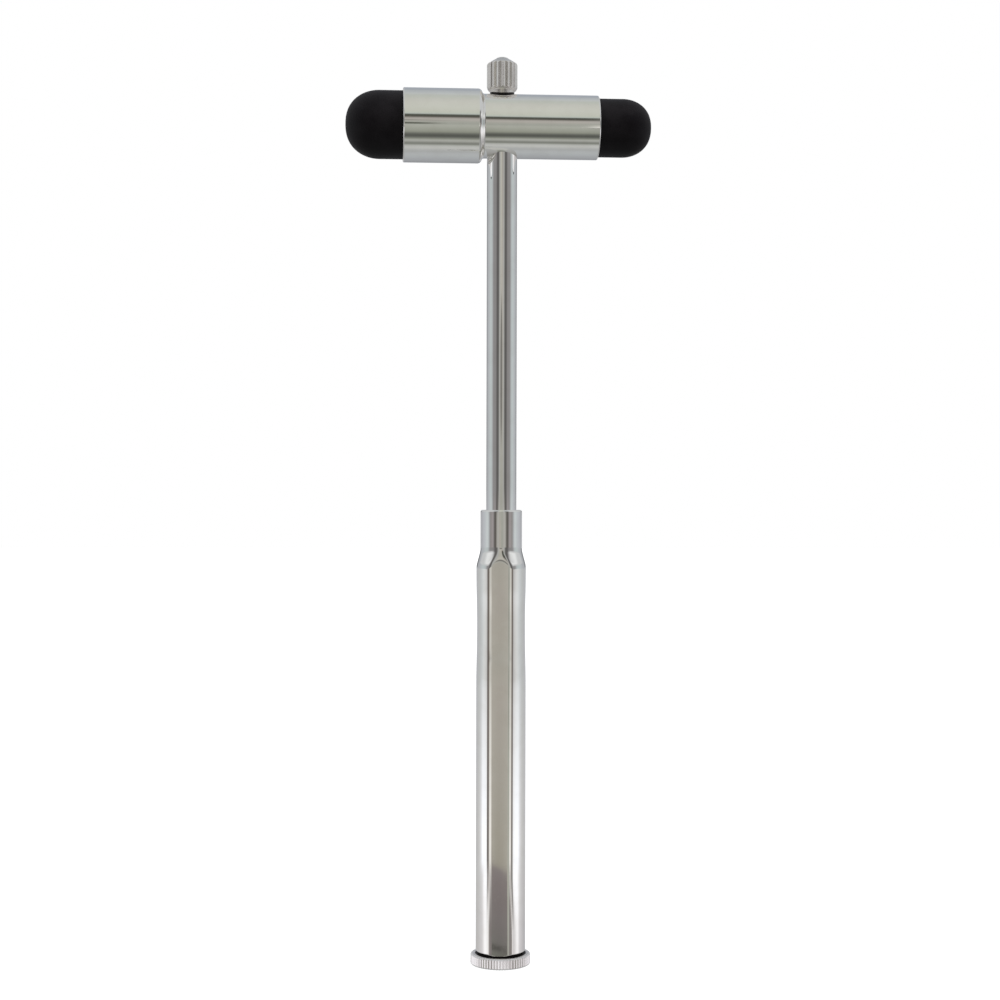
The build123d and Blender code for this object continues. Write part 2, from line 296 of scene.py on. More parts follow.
def noise(t, vector, scale, detail=2.0, rough=0.5, distortion=0.0):
    n = new(t, "ShaderNodeTexNoise")
    n.inputs["Scale"].default_value = scale
    n.inputs["Detail"].default_value = detail
    n.inputs["Roughness"].default_value = rough
    n.inputs["Distortion"].default_value = distortion
    t.links.new(vector, n.inputs["Vector"])
    return n.outputs["Fac"]


def map_range(t, value, a, b, c, d, smooth=False):
    n = new(t, "ShaderNodeMapRange", interpolation_type="SMOOTHSTEP" if smooth else "LINEAR")
    n.clamp = True
    for i, v in enumerate((value, a, b, c, d)):
        if isinstance(v, (int, float)):
            n.inputs[i].default_value = v
        else:
            t.links.new(v, n.inputs[i])
    return n.outputs[0]


def mix_value(t, fac, a, b):
    return map_range(t, fac, 0.0, 1.0, a, b)


def bump(t, height, distance, strength=1.0, normal=None):
    n = new(t, "ShaderNodeBump")
    n.inputs["Strength"].default_value = strength
    n.inputs["Distance"].default_value = distance
    t.links.new(height, n.inputs["Height"])
    if normal is not None:
        t.links.new(normal, n.inputs["Normal"])
    return n.outputs[0]


def mix_colour(t, fac, a, b):
    n = new(t, "ShaderNodeMix", data_type="RGBA")
    n.clamp_factor = True
    if isinstance(fac, (int, float)):
        n.inputs[0].default_value = fac
    else:
        t.links.new(fac, n.inputs[0])
    for i, v in ((6, a), (7, b)):
        if isinstance(v, (tuple, list)):
            n.inputs[i].default_value = (*v[:3], 1)
        else:
            t.links.new(v, n.inputs[i])
    return n.outputs[2]


def plated(name, tint, dull, rough, brushed_along, wobble=3e-6, line=1.2e-7, polish=1.0):
    """Bright plate: a slow ripple from hand polishing, fine lines along the turning or drawing direction, thin handling haze."""
    m, t, b = nodes_of(name)
    own = place_coords(t)
    stretched = place_coords(t, brushed_along)
    ripple = noise(t, own, 130.0, 1.0, 0.4)
    lines = noise(t, stretched, 1.0, 3.0, 0.6)
    haze = noise(t, own, 260.0, 4.0, 0.62, 0.4)
    specks = noise(t, own, 3200.0, 2.0, 0.5)
    t.links.new(mix_colour(t, map_range(t, haze, 0.35, 0.75, 0.0, 1.0, True), tint, dull), b.inputs["Base Color"])
    b.inputs["Metallic"].default_value = 1.0
    base = map_range(t, haze, 0.42, 0.78, rough, rough * (1.0 + 0.9 * polish), True)
    grain = map_range(t, specks, 0.62, 0.74, 0.0, 0.05 * polish, True)
    t.links.new(math_node(t, "ADD", base, math_node(t, "ADD", grain, map_range(t, lines, 0.3, 0.7, 0.0, rough * 0.5))), b.inputs["Roughness"])
    first = bump(t, ripple, wobble)
    t.links.new(bump(t, lines, line, 1.0, first), b.inputs["Normal"])
    return m


chrome_tint, chrome_dull = (0.945, 0.935, 0.915), (0.90, 0.885, 0.86)
chrome_long = plated("chrome_drawn", chrome_tint, chrome_dull, 0.020, (9000, 9000, 60), wobble=2.2e-6, line=7e-8)
chrome_head = plated("chrome_turned", chrome_tint, chrome_dull, 0.030, (9000, 70, 70), wobble=2.6e-6, line=8e-8)
chrome_cap = plated("chrome_knurled", (0.97, 0.945, 0.945), (0.92, 0.89, 0.89), 0.10, (600, 600, 9000), polish=0.7)
satin_knob = plated("nickel_satin", (0.90, 0.865, 0.83), (0.74, 0.70, 0.665), 0.20, (9000, 9000, 400), line=4e-7, polish=0.5)
pin_steel = plated("steel_ground", (0.83, 0.83, 0.84), (0.72, 0.72, 0.73), 0.16, (400, 400, 16000), line=3e-7, polish=0.6)
ferrule_tube = plated("ferrule_nickel", (0.86, 0.80, 0.66), (0.72, 0.64, 0.48), 0.17, (700, 700, 9000), line=3e-7, polish=0.8)


def rubber_material():
    m, t, b = nodes_of("rubber_black")
    own = place_coords(t)
    cloud = noise(t, own, 210.0, 4.0, 0.6)
    grain = noise(t, own, 5200.0, 3.0, 0.6)
    pits = new(t, "ShaderNodeTexVoronoi")
    pits.inputs["Scale"].default_value = 1500.0
    t.links.new(own, pits.inputs["Vector"])
    colour = mix_colour(t, map_range(t, cloud, 0.35, 0.7, 0.0, 1.0, True), (0.0046, 0.0034, 0.0048), (0.0100, 0.0084, 0.0102))
    t.links.new(colour, b.inputs["Base Color"])
    t.links.new(math_node(t, "ADD", map_range(t, cloud, 0.3, 0.7, 0.46, 0.60), map_range(t, grain, 0.3, 0.7, -0.05, 0.05)), b.inputs["Roughness"])
    b.inputs["Specular IOR Level"].default_value = 0.13
    first = bump(t, grain, 6e-6, 0.7)
    t.links.new(bump(t, map_range(t, pits.outputs["Distance"], 0.0, 0.2, 0.0, 1.0, True), 5e-6, 0.5, first), b.inputs["Normal"])
    return m


rubber = rubber_material()


def paint_shade_above(m, height):
    """Painted shade: the cap's upper face is darkened and left dull, and its short neck dark, standing in for the
    shadow and dark reflection in the gap under the handle's end.
    """
    t = m.node_tree
    b = next(n for n in t.nodes if n.type == "BSDF_PRINCIPLED")
    c = new(t, "ShaderNodeTexCoord")
    xyz = new(t, "ShaderNodeSeparateXYZ")
    t.links.new(c.outputs["Object"], xyz.inputs[0])
    above = map_range(t, xyz.outputs[2], (height - 0.06) * MM, height * MM, 0.0, 1.0)
    above = math_node(t, "MULTIPLY", above, map_range(t, xyz.outputs[2], 2.40 * MM, 2.46 * MM, 1.0, 0.0))
    far = math_node(t, "SQRT", math_node(t, "ADD", math_node(t, "MULTIPLY", xyz.outputs[0], xyz.outputs[0]), math_node(t, "MULTIPLY", xyz.outputs[1], xyz.outputs[1])))
    dark = math_node(t, "MULTIPLY", above, map_range(t, far, 5.00 * MM, 5.16 * MM, 1.0, 0.0))
    # Painted shade colour, near black with a little noise, for the shadowed gap under the handle.
    painted_shade = mix_colour(t, noise(t, c.outputs["Object"], 900.0, 3.0), (0.020, 0.017, 0.018), (0.045, 0.040, 0.040))
    t.links.new(mix_colour(t, dark, b.inputs["Base Color"].links[0].from_socket, painted_shade), b.inputs["Base Color"])
    t.links.new(math_node(t, "ADD", b.inputs["Roughness"].links[0].from_socket, math_node(t, "MULTIPLY", above, 0.4)), b.inputs["Roughness"])


paint_shade_above(chrome_cap, 2.09)


def paint_joint_shade(m, axis, reach):
    """The same painted shade where the knob's neck meets the round of the head, standing in for the shadow and dark
    reflection under the knob.
    """
    t = m.node_tree
    b = next(n for n in t.nodes if n.type == "BSDF_PRINCIPLED")
    c = new(t, "ShaderNodeTexCoord")
    xyz = new(t, "ShaderNodeSeparateXYZ")
    t.links.new(c.outputs["Object"], xyz.inputs[0])
    over = math_node(t, "SUBTRACT", xyz.outputs[2], axis * MM)
    far = math_node(t, "SQRT", math_node(t, "ADD", math_node(t, "MULTIPLY", xyz.outputs[1], xyz.outputs[1]), math_node(t, "MULTIPLY", over, over)))
    dark = map_range(t, far, (reach - 0.05) * MM, (reach + 0.05) * MM, 1.0, 0.0)
    dark = math_node(t, "MULTIPLY", dark, map_range(t, xyz.outputs[2], 172.36 * MM, 172.40 * MM, 0.0, 1.0))
    # Painted shade colour for the shadowed ring under the knob.
    painted_shade = mix_colour(t, noise(t, c.outputs["Object"], 900.0, 3.0), (0.020, 0.017, 0.018), (0.045, 0.040, 0.040))
    t.links.new(mix_colour(t, dark, b.inputs["Base Color"].links[0].from_socket, painted_shade), b.inputs["Base Color"])


paint_joint_shade(satin_knob, head_axis, 6.72)


def bristle_material():
    m, t, b = nodes_of("bristle_pale")
    own = place_coords(t, (1, 1, 0.12))
    strand = noise(t, own, 6500.0, 2.0, 0.5)
    t.links.new(mix_colour(t, map_range(t, strand, 0.35, 0.65, 0.0, 1.0), (0.62, 0.55, 0.42), (0.86, 0.82, 0.72)), b.inputs["Base Color"])
    t.links.new(map_range(t, strand, 0.3, 0.7, 0.38, 0.55), b.inputs["Roughness"])
    b.inputs["Subsurface Weight"].default_value = 0.15
    b.inputs["Subsurface Scale"].default_value = 0.0004
    t.links.new(bump(t, strand, 4e-6, 0.6), b.inputs["Normal"])
    return m


bristle_soft = bristle_material()


def give(piece, material, body, slot, *nodes):
    piece.data.materials.clear()
    piece.data.materials.append(material)
    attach(piece, body)
    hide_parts(*nodes)
    return piece


# ------------------------------------------------------------------ handle
# A round bar with a flat down its front and its back. Each flat rolls over a wide soft edge and a tighter one into
# the round sides. The bar is drawn slightly in below the taper, turned at the top to a cone and a round collar, and
# chamfered at the mouth. The brush well and the shaft's socket are inside the same closed mesh.
grip_turn = math.radians(-6.40)
grip_r, flat_w, roll_r, roll_end, turn_r = 4.95, 1.51, 2.90, math.radians(18.0), 1.00


def bar_radius(a, r):
    """Distance from the axis to the section of a bar of radius r, for angles from +X."""
    end = math.asin((flat_w + (roll_r - turn_r) * math.sin(roll_end)) / (r - turn_r))
    depth = r * math.cos(end) + roll_r * (1 - math.cos(roll_end)) + turn_r * (math.cos(roll_end) - math.cos(end))
    d = np.abs(np.mod(a - grip_turn, math.pi) - math.pi / 2)
    u = np.stack([np.sin(d), np.cos(d)])

    def on_arc(cx, cy, rho):
        along = u[0] * cx + u[1] * cy
        return along + np.sqrt(np.maximum(rho**2 - (cx**2 + cy**2 - along**2), 0))

    first = on_arc(flat_w, depth - roll_r, roll_r)
    reach = roll_r - turn_r
    second = on_arc(flat_w + reach * math.sin(roll_end), depth - roll_r + reach * math.cos(roll_end), turn_r)
    flat_to = math.atan2(flat_w, depth)
    roll_to = math.atan2(flat_w + roll_r * math.sin(roll_end), depth - roll_r * (1 - math.cos(roll_end)))
    return np.select([d <= flat_to, d <= roll_to, d <= end], [depth / np.maximum(np.cos(d), 0.2), first, second], r)


from_flat = np.concatenate([np.linspace(0, 18.6, 10)[:-1], np.linspace(18.6, 33.0, 20)[:-1], np.linspace(33.0, 90.0, 25)])
half_turn = np.concatenate([-from_flat[::-1][:-1], from_flat[:-1]])
bar_angles = np.sort(np.mod(np.radians(np.concatenate([half_turn + 90, half_turn + 270])) + grip_turn, TAU))
collar_r = 4.13


# The bar's radius as drawn and buffed: least a little below the taper.
WAIST = [
    (0, 4.95), (56.6, 4.95), (59.6, 4.90), (62.5, 4.83), (64.5, 4.80), (68.5, 4.79), (70.5, 4.81), (72.5, 4.855), (74.5, 4.91),
    (76.5, 4.938), (79.0, 4.95), (95, 4.95),
]
waist_z = np.linspace(-2, 95, 971)
waist_r = np.interp(waist_z, [w[0] for w in WAIST], [w[1] for w in WAIST])
waist_r = np.convolve(np.pad(waist_r, 20, mode="edge"), np.hanning(41) / np.hanning(41).sum(), "valid")


def turned_limit(z):
    """The lathe's outline over the bar: chamfered mouth, open middle, taper, collar."""
    t = (z - 78.58) / (82.50 - 78.58)
    cone = 5.20 + (collar_r - 5.20) * t - 0.12 * t * (1 - t)
    mouth = 4.62 + (z - handle_z0)
    top = -soft_min(np.array(-cone), np.array(-collar_r), 0.16)
    return soft_min(top, np.array(mouth), 0.06)


def handle_radius(a, z):
    bar = bar_radius(a, float(np.interp(z, waist_z, waist_r)))
    from_normal = np.degrees(np.abs(np.mod(a - grip_turn, math.pi) - math.pi / 2))
    soft = 0.11 + (0.06 + 0.14 * np.exp(-((from_normal / 26) ** 2)) if z > 70 else 0.0)
    return soft_min(bar, np.full_like(a, float(turned_limit(z))), soft)


heights = np.concatenate([
    handle_z0 + np.linspace(0, 0.7, 9),
    np.linspace(3.4, 72.0, 58),
    np.linspace(72.4, 76.8, 12),
    np.linspace(77.0, 83.4, 110),
])
outer = radial_rings(bar_angles, heights, handle_radius)
well_r, mouth_r, well_top, step_z, socket_z = 3.10, 3.55, 60.50, handle_z0 + 8.0, shaft_z0
mouth_ring = outer[0][0]
roof = well_top + well_r * math.tan(math.radians(31))
collar_round = 0.40
collar_runs = [
    [wall(bar_angles, collar_r, 83.4, 1), wall(bar_angles, collar_r, 86.5, 1), wall(bar_angles, collar_r, handle_z1 - collar_round, 1)],
    [
        (
            circle(bar_angles, collar_r - collar_round + collar_round * math.cos(a), handle_z1 - collar_round + collar_round * math.sin(a)),
            np.stack([math.cos(a) * np.cos(bar_angles), math.cos(a) * np.sin(bar_angles), np.full(len(bar_angles), math.sin(a))], 1),
        )
        for a in np.linspace(0, math.pi / 2, 8)
    ],
    [flat_ring(circle(bar_angles, collar_r - collar_round, handle_z1), 1), flat_ring(circle(bar_angles, shaft_r + 0.004, handle_z1), 1)],
    [wall(bar_angles, shaft_r + 0.004, handle_z1, -1), wall(bar_angles, shaft_r + 0.004, socket_z, -1)],
    [flat_ring(circle(bar_angles, shaft_r + 0.004, socket_z), 1), (np.array([[0, 0, socket_z]]), np.array([[0, 0, 1.0]]))],
]
slope = 1 / math.hypot(1, math.tan(math.radians(31)))
roof_normal = np.stack([-math.tan(math.radians(31)) * slope * np.cos(bar_angles), -math.tan(math.radians(31)) * slope * np.sin(bar_angles), np.full(len(bar_angles), -slope)], 1)
handle_runs = [
    [(np.array([[0, 0, roof]]), None), (circle(bar_angles, well_r, well_top), roof_normal)],
    [wall(bar_angles, well_r, well_top, -1), wall(bar_angles, well_r, 35, -1), wall(bar_angles, well_r, step_z, -1)],
    [flat_ring(circle(bar_angles, well_r, step_z), -1), flat_ring(circle(bar_angles, mouth_r, step_z), -1)],
    [wall(bar_angles, mouth_r, step_z, -1), wall(bar_angles, mouth_r, handle_z0 + 0.25, -1)],
    [
        (circle(bar_angles, mouth_r, handle_z0 + 0.25), np.stack([-0.7 * np.cos(bar_angles), -0.7 * np.sin(bar_angles), np.full(len(bar_angles), -0.7)], 1)),
        (circle(bar_angles, mouth_r + 0.2, handle_z0), np.stack([-0.7 * np.cos(bar_angles), -0.7 * np.sin(bar_angles), np.full(len(bar_angles), -0.7)], 1)),
    ],
    [flat_ring(circle(bar_angles, mouth_r + 0.2, handle_z0), -1), flat_ring(mouth_ring, -1)],
    outer,
    *collar_runs,
]
# The collar starts on the last outer ring.
handle_runs[7][0] = (outer[-1][0], handle_runs[7][0][1])
flatted_handle = skin("flatted_handle", handle_runs)
give(flatted_handle, chrome_long, "hammer", "chrome", "handle")

# ------------------------------------------------------------------ shaft
o = Outline(0, shaft_z0)
o.to(shaft_r - 0.3, shaft_z0).to(shaft_r, shaft_z0 + 0.3).to(shaft_r, shaft_z1 - 0.3, 40).to(shaft_r - 0.3, shaft_z1)
o.to(1.56, shaft_z1).to(1.56, 165.4).to(1.10, 165.4).to(1.10, 134.0).to(0, 134.0 - 1.1 * math.tan(math.radians(31)))
rod = skin("round_shaft", rings_of(o, 160))
give(rod, chrome_long, "hammer", "chrome", "shaft")

# ------------------------------------------------------------------ head
small_r, bore_big, bore_small = 6.34, 6.74, 5.78
shoulder, round_r, sweep = -4.90, 0.85, 75.0
rise = math.radians(90 - sweep)
cove_r = (big_r - round_r + round_r * math.sin(rise) - small_r) / (1 - math.sin(rise))
cove_x = shoulder + (round_r + cove_r) * math.cos(rise)
floor_big, floor_small = head_x0 + 10.0, head_x1 - 10.0


def head_outline():
    """Walked from the large cup's floor to the small cup's. Heights are positions along +X."""
    o = Outline(0, floor_big)
    # +X is up the outline, so the large end is the bottom: its cup opens downwards.
    o.to(bore_big, floor_big)
    o.to(bore_big, floor_big - 2.4).to(bore_big + 0.2, floor_big - 2.6).to(bore_big + 0.2, floor_big - 3.4).to(bore_big, floor_big - 3.6)
    o.to(bore_big, head_x0 + 0.10, 4).to(bore_big + 0.10, head_x0)
    o.to(big_r - 0.28, head_x0)
    o.arc((big_r - 0.28, head_x0 + 0.28), -90, 0, 7)
    o.to(big_r, shoulder, 30)
    o.arc((big_r - round_r, shoulder), 0, sweep, 14)
    o.arc((small_r + cove_r, cove_x), 180 + sweep, 180, 10)
    o.to(small_r, head_x1 - 0.28, 58)
    o.arc((small_r - 0.28, head_x1 - 0.28), 0, 90, 7)
    o.to(bore_small + 0.10, head_x1).to(bore_small, head_x1 - 0.10)
    o.to(bore_small, floor_small + 3.6, 4).to(bore_small + 0.2, floor_small + 3.4).to(bore_small + 0.2, floor_small + 2.6).to(bore_small, floor_small + 2.4)
    o.to(bore_small, floor_small).to(0, floor_small)
    return o


outline = head_outline()
marks = []
head = skin("turned_head", rings_of(outline, 288), along_x, marks)


def cutter(name, r, z0, z1, count=144):
    o = Outline(0, z0).to(r, z0).to(r, z1).to(0, z1)
    c = skin(name, rings_of(o, count))
    c.hide_render = True
    return c


def cut(target, tools, run_marks):
    """Subtracts the tools and gives each face back the exact normals of the surface that it lies on."""
    count = max(run_marks) + 1
    for i in range(count + 1):
        target.data.materials.append(bpy.data.materials.new(f"mark_{i}"))
    target.data.polygons.foreach_set("material_index", run_marks)
    for tool in tools:
        for i in range(count + 1):
            tool.data.materials.append(target.data.materials[i])
        tool.data.polygons.foreach_set("material_index", [count] * len(tool.data.polygons))
        mod = target.modifiers.new("cut", "BOOLEAN")
        mod.object, mod.operation, mod.solver, mod.material_mode = tool, "DIFFERENCE", "EXACT", "INDEX"
    bpy.context.view_layer.update()
    done = bpy.data.meshes.new_from_object(target.evaluated_get(bpy.context.evaluated_depsgraph_get()))
    target.modifiers.clear()
    old = target.data
    target.data = done
    bpy.data.meshes.remove(old)
    for tool in tools:
        data = tool.data
        bpy.data.objects.remove(tool)
        bpy.data.meshes.remove(data)
    n_loops = len(done.loops)
    co = np.zeros(len(done.vertices) * 3)
    done.vertices.foreach_get("co", co)
    co = co.reshape(-1, 3) / MM
    vert = np.zeros(n_loops, int)
    done.loops.foreach_get("vertex_index", vert)
    which = np.zeros(len(done.polygons), int)
    done.polygons.foreach_get("material_index", which)
    totals = np.zeros(len(done.polygons), int)
    done.polygons.foreach_get("loop_total", totals)
    flat_normals = np.zeros(len(done.polygons) * 3)
    done.polygons.foreach_get("normal", flat_normals)
    face = np.repeat(np.arange(len(done.polygons)), totals)
    flat_normals = flat_normals.reshape(-1, 3)[face]
    which = which[face]
    p = co[vert]
    x, r = p[:, 0], np.hypot(p[:, 1], p[:, 2] - head_axis)
    r = np.maximum(r, 1e-6)
    nrm = flat_normals.copy()
    for number, run in enumerate(outline.runs):
        at = which == number
        if not at.any():
            continue
        run = np.array(run)
        # Nearest point on the run gives the radial and axial parts of the normal.
        if np.ptp(run[:, 2]) < 1e-9 and np.ptp(run[:, 3]) < 1e-9:
            nr, nh = np.full(at.sum(), run[0, 2]), np.full(at.sum(), run[0, 3])
        else:
            key = np.arctan2(run[:, 3], run[:, 2])
            # An arc: the place along it by its own height.
            order = np.argsort(run[:, 1])
            nr = np.interp(x[at], run[order, 1], run[order, 2])
            nh = np.interp(x[at], run[order, 1], run[order, 3])
            length = np.hypot(nr, nh)
            nr, nh = nr / length, nh / length
        nrm[at] = np.stack([nh, nr * p[at, 1] / r[at], nr * (p[at, 2] - head_axis) / r[at]], 1)
    walls = (which == count) & (np.abs(flat_normals[:, 2]) < 0.5)
    d = np.maximum(np.hypot(p[walls, 0], p[walls, 1]), 1e-6)
    nrm[walls] = np.stack([-p[walls, 0] / d, -p[walls, 1] / d, np.zeros(walls.sum())], 1)
    for m in list(done.materials):
        if m is not None and m.name.startswith("mark_") and m.users:
            pass
    done.materials.clear()
    for m in [m for m in bpy.data.materials if m.name.startswith("mark_")]:
        bpy.data.materials.remove(m)
    done.polygons.foreach_set("material_index", [0] * len(done.polygons))
    done.polygons.foreach_set("use_smooth", [True] * len(done.polygons))
    done.normals_split_custom_set(nrm.tolist())
    done.update()
    return target


seat_r, seat_z = 2.52, 172.35
cut(head, [cutter("cut_shaft", shaft_r + 0.004, 150, shaft_z1 + 0.004), cutter("cut_stem", 1.56, 170, 173.4), cutter("cut_seat", seat_r, seat_z, 180)], marks)
give(head, chrome_head, "hammer", "chrome", "head_body")

# ------------------------------------------------------------------ mallets
def mallet(name, axis_sign, tip, end, bore, cup_floor, blunt):
    """Domed rubber with its plug and bead in the cup. Drawn towards -X for the large one, +X for the small one."""
    r = bore - 0.004
    straight = abs(tip) - abs(end) - r
    grow = 1 if axis_sign > 0 else -1
    pts = []
    if axis_sign > 0:
        o = Outline(0, cup_floor).to(r, cup_floor)
        o.to(r, cup_floor + 2.4).to(r + 0.2, cup_floor + 2.6).to(r + 0.2, cup_floor + 3.4).to(r, cup_floor + 3.6)
        nose = end + straight
        o.to(r, nose, 14)
        n = 40
        for i in range(1, n + 1):
            a = math.pi / 2 * i / n
            pts.append((r * math.cos(a) ** (1 - blunt), nose + r * math.sin(a)))
        pts[-1] = (0.0, nose + r)
    else:
        nose = end - straight
        o = Outline(0, nose - r)
        n = 40
        for i in range(1, n + 1):
            a = math.pi / 2 * (1 - i / n)
            pts.append((r * math.cos(a) ** (1 - blunt), nose - r * math.sin(a)))
        pts[-1] = (r, nose)
    if axis_sign < 0:
        o.curve(pts)
        o.to(r, cup_floor - 3.6, 14).to(r + 0.2, cup_floor - 3.4).to(r + 0.2, cup_floor - 2.6).to(r, cup_floor - 2.4).to(r, cup_floor).to(0, cup_floor)
    else:
        o.curve(pts)
    return skin(name, rings_of(o, 160), along_x)


big_rubber = mallet("rubber_large", -1, big_tip, head_x0, bore_big, floor_big, 0.15)
give(big_rubber, rubber, "hammer", "black_rubber", "large_mallet")
small_rubber = mallet("rubber_small", 1, small_tip, head_x1, bore_small, floor_small, 0.17)
give(small_rubber, rubber, "hammer", "black_rubber", "small_mallet")

# ------------------------------------------------------------------ end cap
teeth = 64
per_tooth = 8
cap_angles = np.arange(teeth * per_tooth) * TAU / (teeth * per_tooth)
coarse = np.arange(128) * TAU / 128
rim_top = 2.10


def tooth(a, count, depth):
    """0 on the crest, depth in the groove, rounded both ways."""
    p = np.mod(a * count / TAU, 1.0)
    return depth * (0.5 - 0.5 * np.cos(TAU * p)) ** 0.8


def rim_radius(a, z):
    """Fine straight knurl, whose grooves run out through a small chamfer at each face."""
    low, high = z - cap_z0, rim_top - z
    edge = 0.26 - np.minimum(0.26, min(max(low, 0.0), max(high, 0.0)))
    return cap_r - edge * edge / 0.26 - tooth(a, teeth, 0.15)


rim_z = np.concatenate([cap_z0 + 0.26 * (1 - np.cos(np.linspace(0, math.pi / 2, 6))), np.linspace(0.5, 1.6, 6), rim_top - 0.26 * (1 - np.cos(np.linspace(math.pi / 2, 0, 6)))])
rim = radial_rings(cap_angles, rim_z, rim_radius)
thread_r, thread_root, thread_pitch = 3.50, 3.10, 0.75


def male_thread(a, z, z0, z1, crest, root, pitch):
    """A right-hand helix that fades in and out at its ends."""
    p = np.mod((z - pitch * a / TAU) / pitch, 1.0)
    v = 1 - np.abs(2 * p - 1)
    shape = np.clip((v - 0.10) / 0.72, 0, 1)
    fade = np.clip((z - z0) / (0.9 * pitch), 0, 1) * np.clip((z1 - z) / (0.9 * pitch), 0, 1)
    return root + (crest - root) * shape * fade


neck_r, neck_z = 4.40, 2.38
plug_a = coarse
thread_z0, thread_z1 = neck_z + 0.55, cap_z1 - 0.30
plug_heights = np.arange(thread_z0, thread_z1 + 1e-6, thread_pitch / 12)
thread_rings = radial_rings(plug_a, plug_heights, lambda a, z: male_thread(a, z, thread_z0, thread_z1, thread_r, thread_root, thread_pitch))
socket_r, socket_floor = 2.05, 4.40
underside = [
    (np.array([[0, 0, cap_z0 + 0.12]]), np.array([[0, 0, -1.0]])),
    flat_ring(circle(coarse, 3.6, cap_z0 + 0.12), -1),
]
under_lip = [flat_ring(circle(coarse, 3.6, cap_z0 + 0.12), -1), flat_ring(circle(coarse, 3.75, cap_z0), -1)]
cap_runs = [
    underside,
    under_lip,
    [flat_ring(circle(coarse, 3.75, cap_z0), -1), flat_ring(rim[0][0], -1)],
    rim,
    [flat_ring(rim[-1][0], 1), flat_ring(circle(coarse, neck_r, rim_top), 1)],
    [wall(coarse, neck_r, rim_top, 1), wall(coarse, neck_r, neck_z, 1)],
    [flat_ring(circle(coarse, neck_r, neck_z), 1), flat_ring(circle(coarse, thread_root, neck_z), 1)],
    [wall(coarse, thread_root, neck_z, 1), wall(coarse, thread_root, thread_z0, 1)],
    thread_rings,
    [
        (thread_rings[-1][0], np.stack([0.6 * np.cos(coarse), 0.6 * np.sin(coarse), np.full(128, 0.8)], 1)),
        (circle(coarse, thread_root - 0.25, cap_z1), np.stack([0.6 * np.cos(coarse), 0.6 * np.sin(coarse), np.full(128, 0.8)], 1)),
    ],
    [flat_ring(circle(coarse, thread_root - 0.25, cap_z1), 1), flat_ring(circle(coarse, socket_r, cap_z1), 1)],
    [wall(coarse, socket_r, cap_z1, -1), wall(coarse, socket_r, socket_floor, -1)],
    [flat_ring(circle(coarse, socket_r, socket_floor), 1), (np.array([[0, 0, socket_floor]]), np.array([[0, 0, 1.0]]))],
]
cap = skin("knurled_cap", cap_runs)
give(cap, chrome_cap, "cap", "knurled_chrome", "end_cap")

# ------------------------------------------------------------------ brush
o = Outline(0, ferrule_z0)
o.to(1.75, ferrule_z0).to(2.0, ferrule_z0 + 0.25).to(2.0, 9.45, 3).to(ferrule_r - 0.12, 9.45)
o.arc((ferrule_r - 0.12, 9.57), -90, 0, 4)
o.to(ferrule_r, 15.55, 4)
o.curve([(ferrule_r - 0.17 * (0.5 - 0.5 * math.cos(TAU * i / 16)), 15.55 + 2.1 * i / 16) for i in range(1, 17)])
o.to(ferrule_r, ferrule_z1 - 0.14, 3)
o.arc((ferrule_r - 0.14, ferrule_z1 - 0.14), 0, 90, 4)
o.to(2.20, ferrule_z1).to(2.15, ferrule_z1 - 0.05).to(2.15, 12.0).to(0, 12.0)
ferrule = skin("crimped_ferrule", rings_of(o, 96))
give(ferrule, ferrule_tube, "brush", "ferrule_metal", "brush_ferrule")


def tuft():
    """Fine tapered hairs that leave the ferrule straight, spread a little and lean each its own way."""
    rnd = np.random.default_rng(11)
    verts, faces = [], []
    golden = math.pi * (3 - math.sqrt(5))
    total = 300
    top, base = bristle_z1, bristle_z0
    for i in range(total):
        rr = 1.98 * math.sqrt((i + 0.5) / total)
        a = i * golden
        x0, y0 = rr * math.cos(a), rr * math.sin(a)
        spread = 0.30 + 0.10 * rnd.random()
        wander = rnd.normal(0, 0.13, 2)
        curl = rnd.normal(0, 0.10, 2)
        length = (top - base) * (1 - 0.055 * (rr / 1.98) ** 2 - 0.03 * rnd.random())
        thick = 0.075 + 0.018 * rnd.random()
        n, rows = 5, 9
        first = len(verts)
        for k in range(rows + 1):
            t = k / rows
            z = base + length * t
            free = max(0.0, (z - ferrule_z1) / (top - ferrule_z1))
            x = x0 * (1 + spread * free) + wander[0] * free**1.5 + curl[0] * math.sin(math.pi * free)
            y = y0 * (1 + spread * free) + wander[1] * free**1.5 + curl[1] * math.sin(math.pi * free)
            far = math.hypot(x, y)
            if far > 2.95:
                x, y = x * 2.95 / far, y * 2.95 / far
            w = thick * (1 - 0.62 * t**2.5)
            for j in range(n):
                b = TAU * j / n
                verts.append((x + w * math.cos(b), y + w * math.sin(b), z))
        for k in range(rows):
            for j in range(n):
                q = (j + 1) % n
                p0 = first + k * n
                faces.append((p0 + j, p0 + q, p0 + n + q, p0 + n + j))
        faces.append(tuple(first + j for j in reversed(range(n))))
        faces.append(tuple(first + rows * n + j for j in range(n)))
    mesh = bpy.data.meshes.new("brush_tuft")
    mesh.from_pydata([(x * MM, y * MM, z * MM) for x, y, z in verts], [], faces)
    mesh.polygons.foreach_set("use_smooth", [True] * len(mesh.polygons))
    mesh.update()
    piece = bpy.data.objects.new("brush_tuft", mesh)
    scene.collection.objects.link(piece)
    return piece


give(tuft(), bristle_soft, "brush", "bristle", "brush_bristles")

# ------------------------------------------------------------------ needle
o = Outline(0, needle_z0)
o.curve([(needle_r * (i / 20) ** 0.85, needle_z0 + 5.0 * (i / 20)) for i in range(1, 21)])
o.to(needle_r, needle_z1 - 0.15, 10).to(needle_r - 0.15, needle_z1).to(0, needle_z1)
pin = skin("ground_needle", rings_of(o, 48))
give(pin, pin_steel, "pin", "needle_steel", "needle")

# ------------------------------------------------------------------ knob
flutes = 20
knob_angles = np.arange(flutes * 18) * TAU / (flutes * 18)
knurl_low, knurl_high = 174.65, 179.60
stem_r, stem_root, stem_pitch, pin_hole = 1.50, 1.25, 0.50, 0.55


